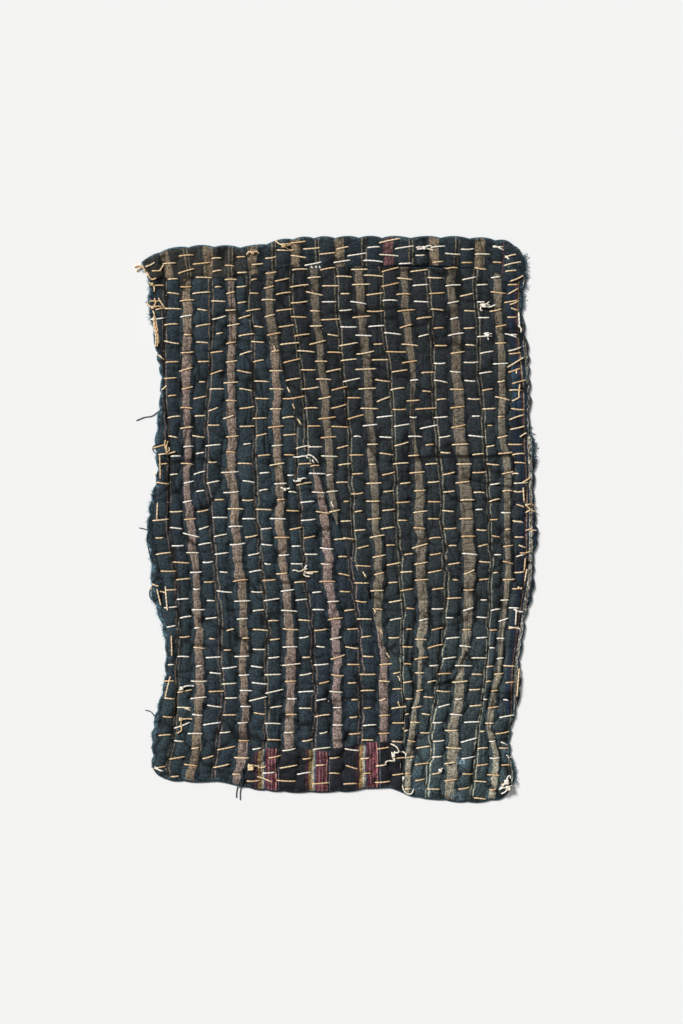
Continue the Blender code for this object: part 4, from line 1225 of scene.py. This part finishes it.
TAIL_STEP = 0.8           # between the points of its path
TAIL_SCATTER = (0.85, 1.15)
KNOT_STEPS = 46
KNOT_WINDS = (5, 4, 7)    # how often the loop crosses the knot in x, y and z
KNOT_FLATNESS = 0.7
KNOT_TIGHTNESS = 0.7
BIG_KNOT = 1.7            # from this radius on a knot is wound of two loops


def bent(points, step):
    """A soft bend through points instead of sharp corners, as evenly spaced points."""
    line = np.asarray(points, float)
    for _ in range(3):
        near, far = line[:-1] * 0.75 + line[1:] * 0.25, line[:-1] * 0.25 + line[1:] * 0.75
        middle = np.stack([near, far], axis=1).reshape(-1, 2)
        line = np.concatenate([line[:1], middle, line[-1:]])
    length = np.hypot(*np.diff(line, axis=0).T).sum()
    return spaced(line, max(int(length / step), 5))


def lying_on_it(flat_path, lift):
    """A thread's path on the rag or the table below it, with soft hops where it crosses an edge."""
    z = sampled(top_height, flat_path[:, 0], flat_path[:, 1])
    z = np.maximum(z, np.convolve(np.pad(z, 1, mode="edge"), (0.25, 0.5, 0.25), mode="valid"))
    return np.column_stack([flat_path, np.maximum(z, 0) + lift])


def knot_paths(x, y, size, tails, seed):
    """A knot pulled tight, as a winding loop of thread, and the tails that come out of it."""
    random = np.random.default_rng(seed)
    t = np.linspace(0, 2 * math.pi, KNOT_STEPS)
    height = max(float(sampled(top_height, x, y)), 0) + 0.6 * size + 0.2
    wind_x, wind_y, wind_z = KNOT_WINDS
    paths = []
    for turn in random.uniform(0, 2 * math.pi, 2 if size > BIG_KNOT else 1):
        up = KNOT_FLATNESS * np.sin(wind_z * t + 1)
        tight = np.stack([np.sin(wind_x * t + turn), np.sin(wind_y * t + 0.5 * turn), up], axis=1)
        path = KNOT_TIGHTNESS * size * tight + (x, y, height)
        path[:, 2] = np.maximum(path[:, 2], THREAD_RADIUS)
        paths.append(path)
    for tail in tails:
        wander = np.asarray(tail, float) * random.uniform(*TAIL_SCATTER)
        path = lying_on_it(bent(wander + (x, y), TAIL_STEP), TAIL_LIFT)
        path[:, 2] += TAIL_HOP * np.sin(np.linspace(0, math.pi, len(path))) * random.uniform(0.3, 1)
        paths.append(path)
    return paths


for knots, paths in ((TAN_KNOTS, tan_paths), (WHITE_KNOTS, white_paths)):
    for x, y, size, tails in knots:
        paths += knot_paths(x, y, size, tails, int(1000 + x + y))
tan_piece = thread_object("tan_stitches_and_knots", tan_paths, THREAD_RADIUS, TUBE_SIDES, tan_thread)
white_piece = thread_object("white_stitches_and_knots", white_paths, THREAD_RADIUS, TUBE_SIDES, white_thread)

# The loose dark threads and the frayed edges
# Indigo yarns that have come out of the weave: a few long ones that trail off the rag, and a fuzz of
# short fibres where the raw edges are worn to pale blue.
LOOSE_RADIUS = 0.4
LOOSE_STEP = 1.2
LOOSE_LIFT = 0.5
LOOSE_TWIST = 1.8
FIBRE_RADIUS = 0.15
FIBRE_SIDES = 3
FIBRE_STEPS = 6
FIBRE_TWIST = 0.9
FIBRE_ROOT = 0.9          # how far inside the edge a fibre begins
FIBRE_SPREAD = 0.75       # of its heading
FIBRE_CURL = 0.9
FIBRE_HEIGHTS = (0.6, 1.9)
LOOSE_THREADS = (         # points of each, x, y
    ((-160.0, 99.0), (-163.0, 97.0), (-168.5, 92.5), (-174.5, 92.5), (-182.5, 89.0)),
    ((-160.0, 69.0), (-164.0, 67.5), (-168.0, 65.5), (-167.5, 61.5), (-164.0, 59.0), (-160.0, 58.0)),
    ((-180.0, -7.5), (-174.0, -8.5), (-171.0, -11.0), (-173.0, -17.5), (-172.0, -24.0), (-170.5, -31.5),
     (-168.5, -35.5)),
    ((-160.0, -57.0), (-164.5, -58.0), (-170.0, -61.5), (-171.0, -69.0), (-167.5, -74.0), (-162.0, -70.0)),
    ((-174.5, -171.5), (-169.0, -172.5), (-166.5, -177.0), (-162.0, -174.0)),
    ((-86.5, -223.0), (-87.5, -232.5), (-92.0, -241.5), (-92.5, -250.5)),
    ((-86.5, -223.0), (-86.0, -234.5), (-89.0, -243.5), (-89.0, -252.5)),
    ((166.0, 78.0), (172.0, 79.0), (177.0, 76.0)), ((168.0, 60.0), (174.0, 57.0), (176.0, 52.0)),
)
FRAY_PLACES = (           # side, low y, high y, how many fibres, longest
    ("left", -226.0, 224.0, 320, 3.0), ("left", -205.0, 30.0, 200, 4.0), ("left", 170.0, 229.0, 110, 5.0),
    ("right", -224.0, 228.0, 200, 2.8), ("right", 190.0, 238.0, 190, 6.5), ("right", 48.0, 84.0, 130, 5.5),
    ("right", -240.0, -190.0, 70, 4.5),
)
loose_paths = [lying_on_it(bent(points, LOOSE_STEP), LOOSE_LIFT) for points in LOOSE_THREADS]
# Its third colour is the painted shade in its ply grooves.
indigo_yarn = twisted_thread("loose_indigo_yarn_single", "#24323E", "#31424E", "#141C24", LOOSE_TWIST)
loose_piece = thread_object("loose_indigo_threads", loose_paths, LOOSE_RADIUS, TUBE_SIDES, indigo_yarn)
fray_paths = []
random = np.random.default_rng(80)
for side, low, high, count, longest in FRAY_PLACES:
    on_left = side == "left"
    edge, outward, inside = (left_edge, math.pi, FIBRE_ROOT) if on_left else (right_edge, 0, -FIBRE_ROOT)
    for _ in range(count):
        y = random.uniform(low, high)
        x = float(edge(np.array(y)))
        heading = outward + random.normal(0, FIBRE_SPREAD)
        length, curl = random.uniform(0.35, 1) * longest, random.normal(0, FIBRE_CURL)
        t = np.linspace(0, 1, FIBRE_STEPS)
        bend = heading + curl * t
        height = random.uniform(*FIBRE_HEIGHTS) * (1 - 0.6 * t)
        height = height + random.uniform(0, 0.7) * np.sin(math.pi * t)
        fray_paths.append(np.stack([x + inside + length * t * np.cos(bend),
                                    y + length * t * np.sin(bend), height], axis=1))
# Its third colour is the painted shade in its ply grooves.
frayed_yarn = twisted_thread("frayed_indigo_fibres_worn_pale", "#3A5766", "#7FA6B2", "#2C4450", FIBRE_TWIST)
fray_piece = thread_object("frayed_edge_fibres", fray_paths, FIBRE_RADIUS, FIBRE_SIDES, frayed_yarn)

# The floor, light and camera
# Plain near-white paper under soft daylight from the upper left, seen from straight above.
CAMERA_HEIGHT = 2.5
CAMERA_X = 0.00225
CAMERA_Y = 0.00675
VIEW_HEIGHT = 0.9216
FILM_HEIGHT = 36
FLOOR_HALF = 12.0
SUN_STRENGTH = 4.15
SUN_WIDTH = 16            # degrees across, which softens the shadows
SUN_TILT = (-30, -48)     # degrees, toward the top and the left
SKY_STRENGTH = 0.27
floor_mesh = bpy.data.meshes.new("floor")
corners = ((-1, -1), (1, -1), (1, 1), (-1, 1))
floor_mesh.from_pydata([(x * FLOOR_HALF, y * FLOOR_HALF, 0) for x, y in corners], [], [(0, 1, 2, 3)])
floor = bpy.data.objects.new("floor", floor_mesh)
bpy.context.scene.collection.objects.link(floor)
paper = bpy.data.materials.new("floor_paper_matt_white")
paper.use_nodes = True
paper.node_tree.nodes["Principled BSDF"].inputs["Base Color"].default_value = linear("#F0F0EF")
paper.node_tree.nodes["Principled BSDF"].inputs["Roughness"].default_value = 0.95
floor_mesh.materials.append(paper)

lamp_data = bpy.data.lights.new("window_light", "SUN")
lamp_data.energy = SUN_STRENGTH
lamp_data.angle = math.radians(SUN_WIDTH)
lamp = bpy.data.objects.new("window_light", lamp_data)
lamp.rotation_euler = (math.radians(SUN_TILT[0]), math.radians(SUN_TILT[1]), 0)
bpy.context.scene.collection.objects.link(lamp)
world = bpy.data.worlds.new("room")
world.use_nodes = True
world.node_tree.nodes["Background"].inputs["Color"].default_value = (1, 1, 1, 1)
world.node_tree.nodes["Background"].inputs["Strength"].default_value = SKY_STRENGTH
bpy.context.scene.world = world
bpy.context.scene.view_settings.view_transform = "Standard"

camera_data = bpy.data.cameras.new("camera")
camera_data.sensor_fit = "VERTICAL"
camera_data.sensor_height = FILM_HEIGHT
camera_data.lens = FILM_HEIGHT * CAMERA_HEIGHT / VIEW_HEIGHT
camera = bpy.data.objects.new("camera", camera_data)
camera.location = (CAMERA_X, CAMERA_Y, CAMERA_HEIGHT)
bpy.context.scene.collection.objects.link(camera)
bpy.context.scene.camera = camera
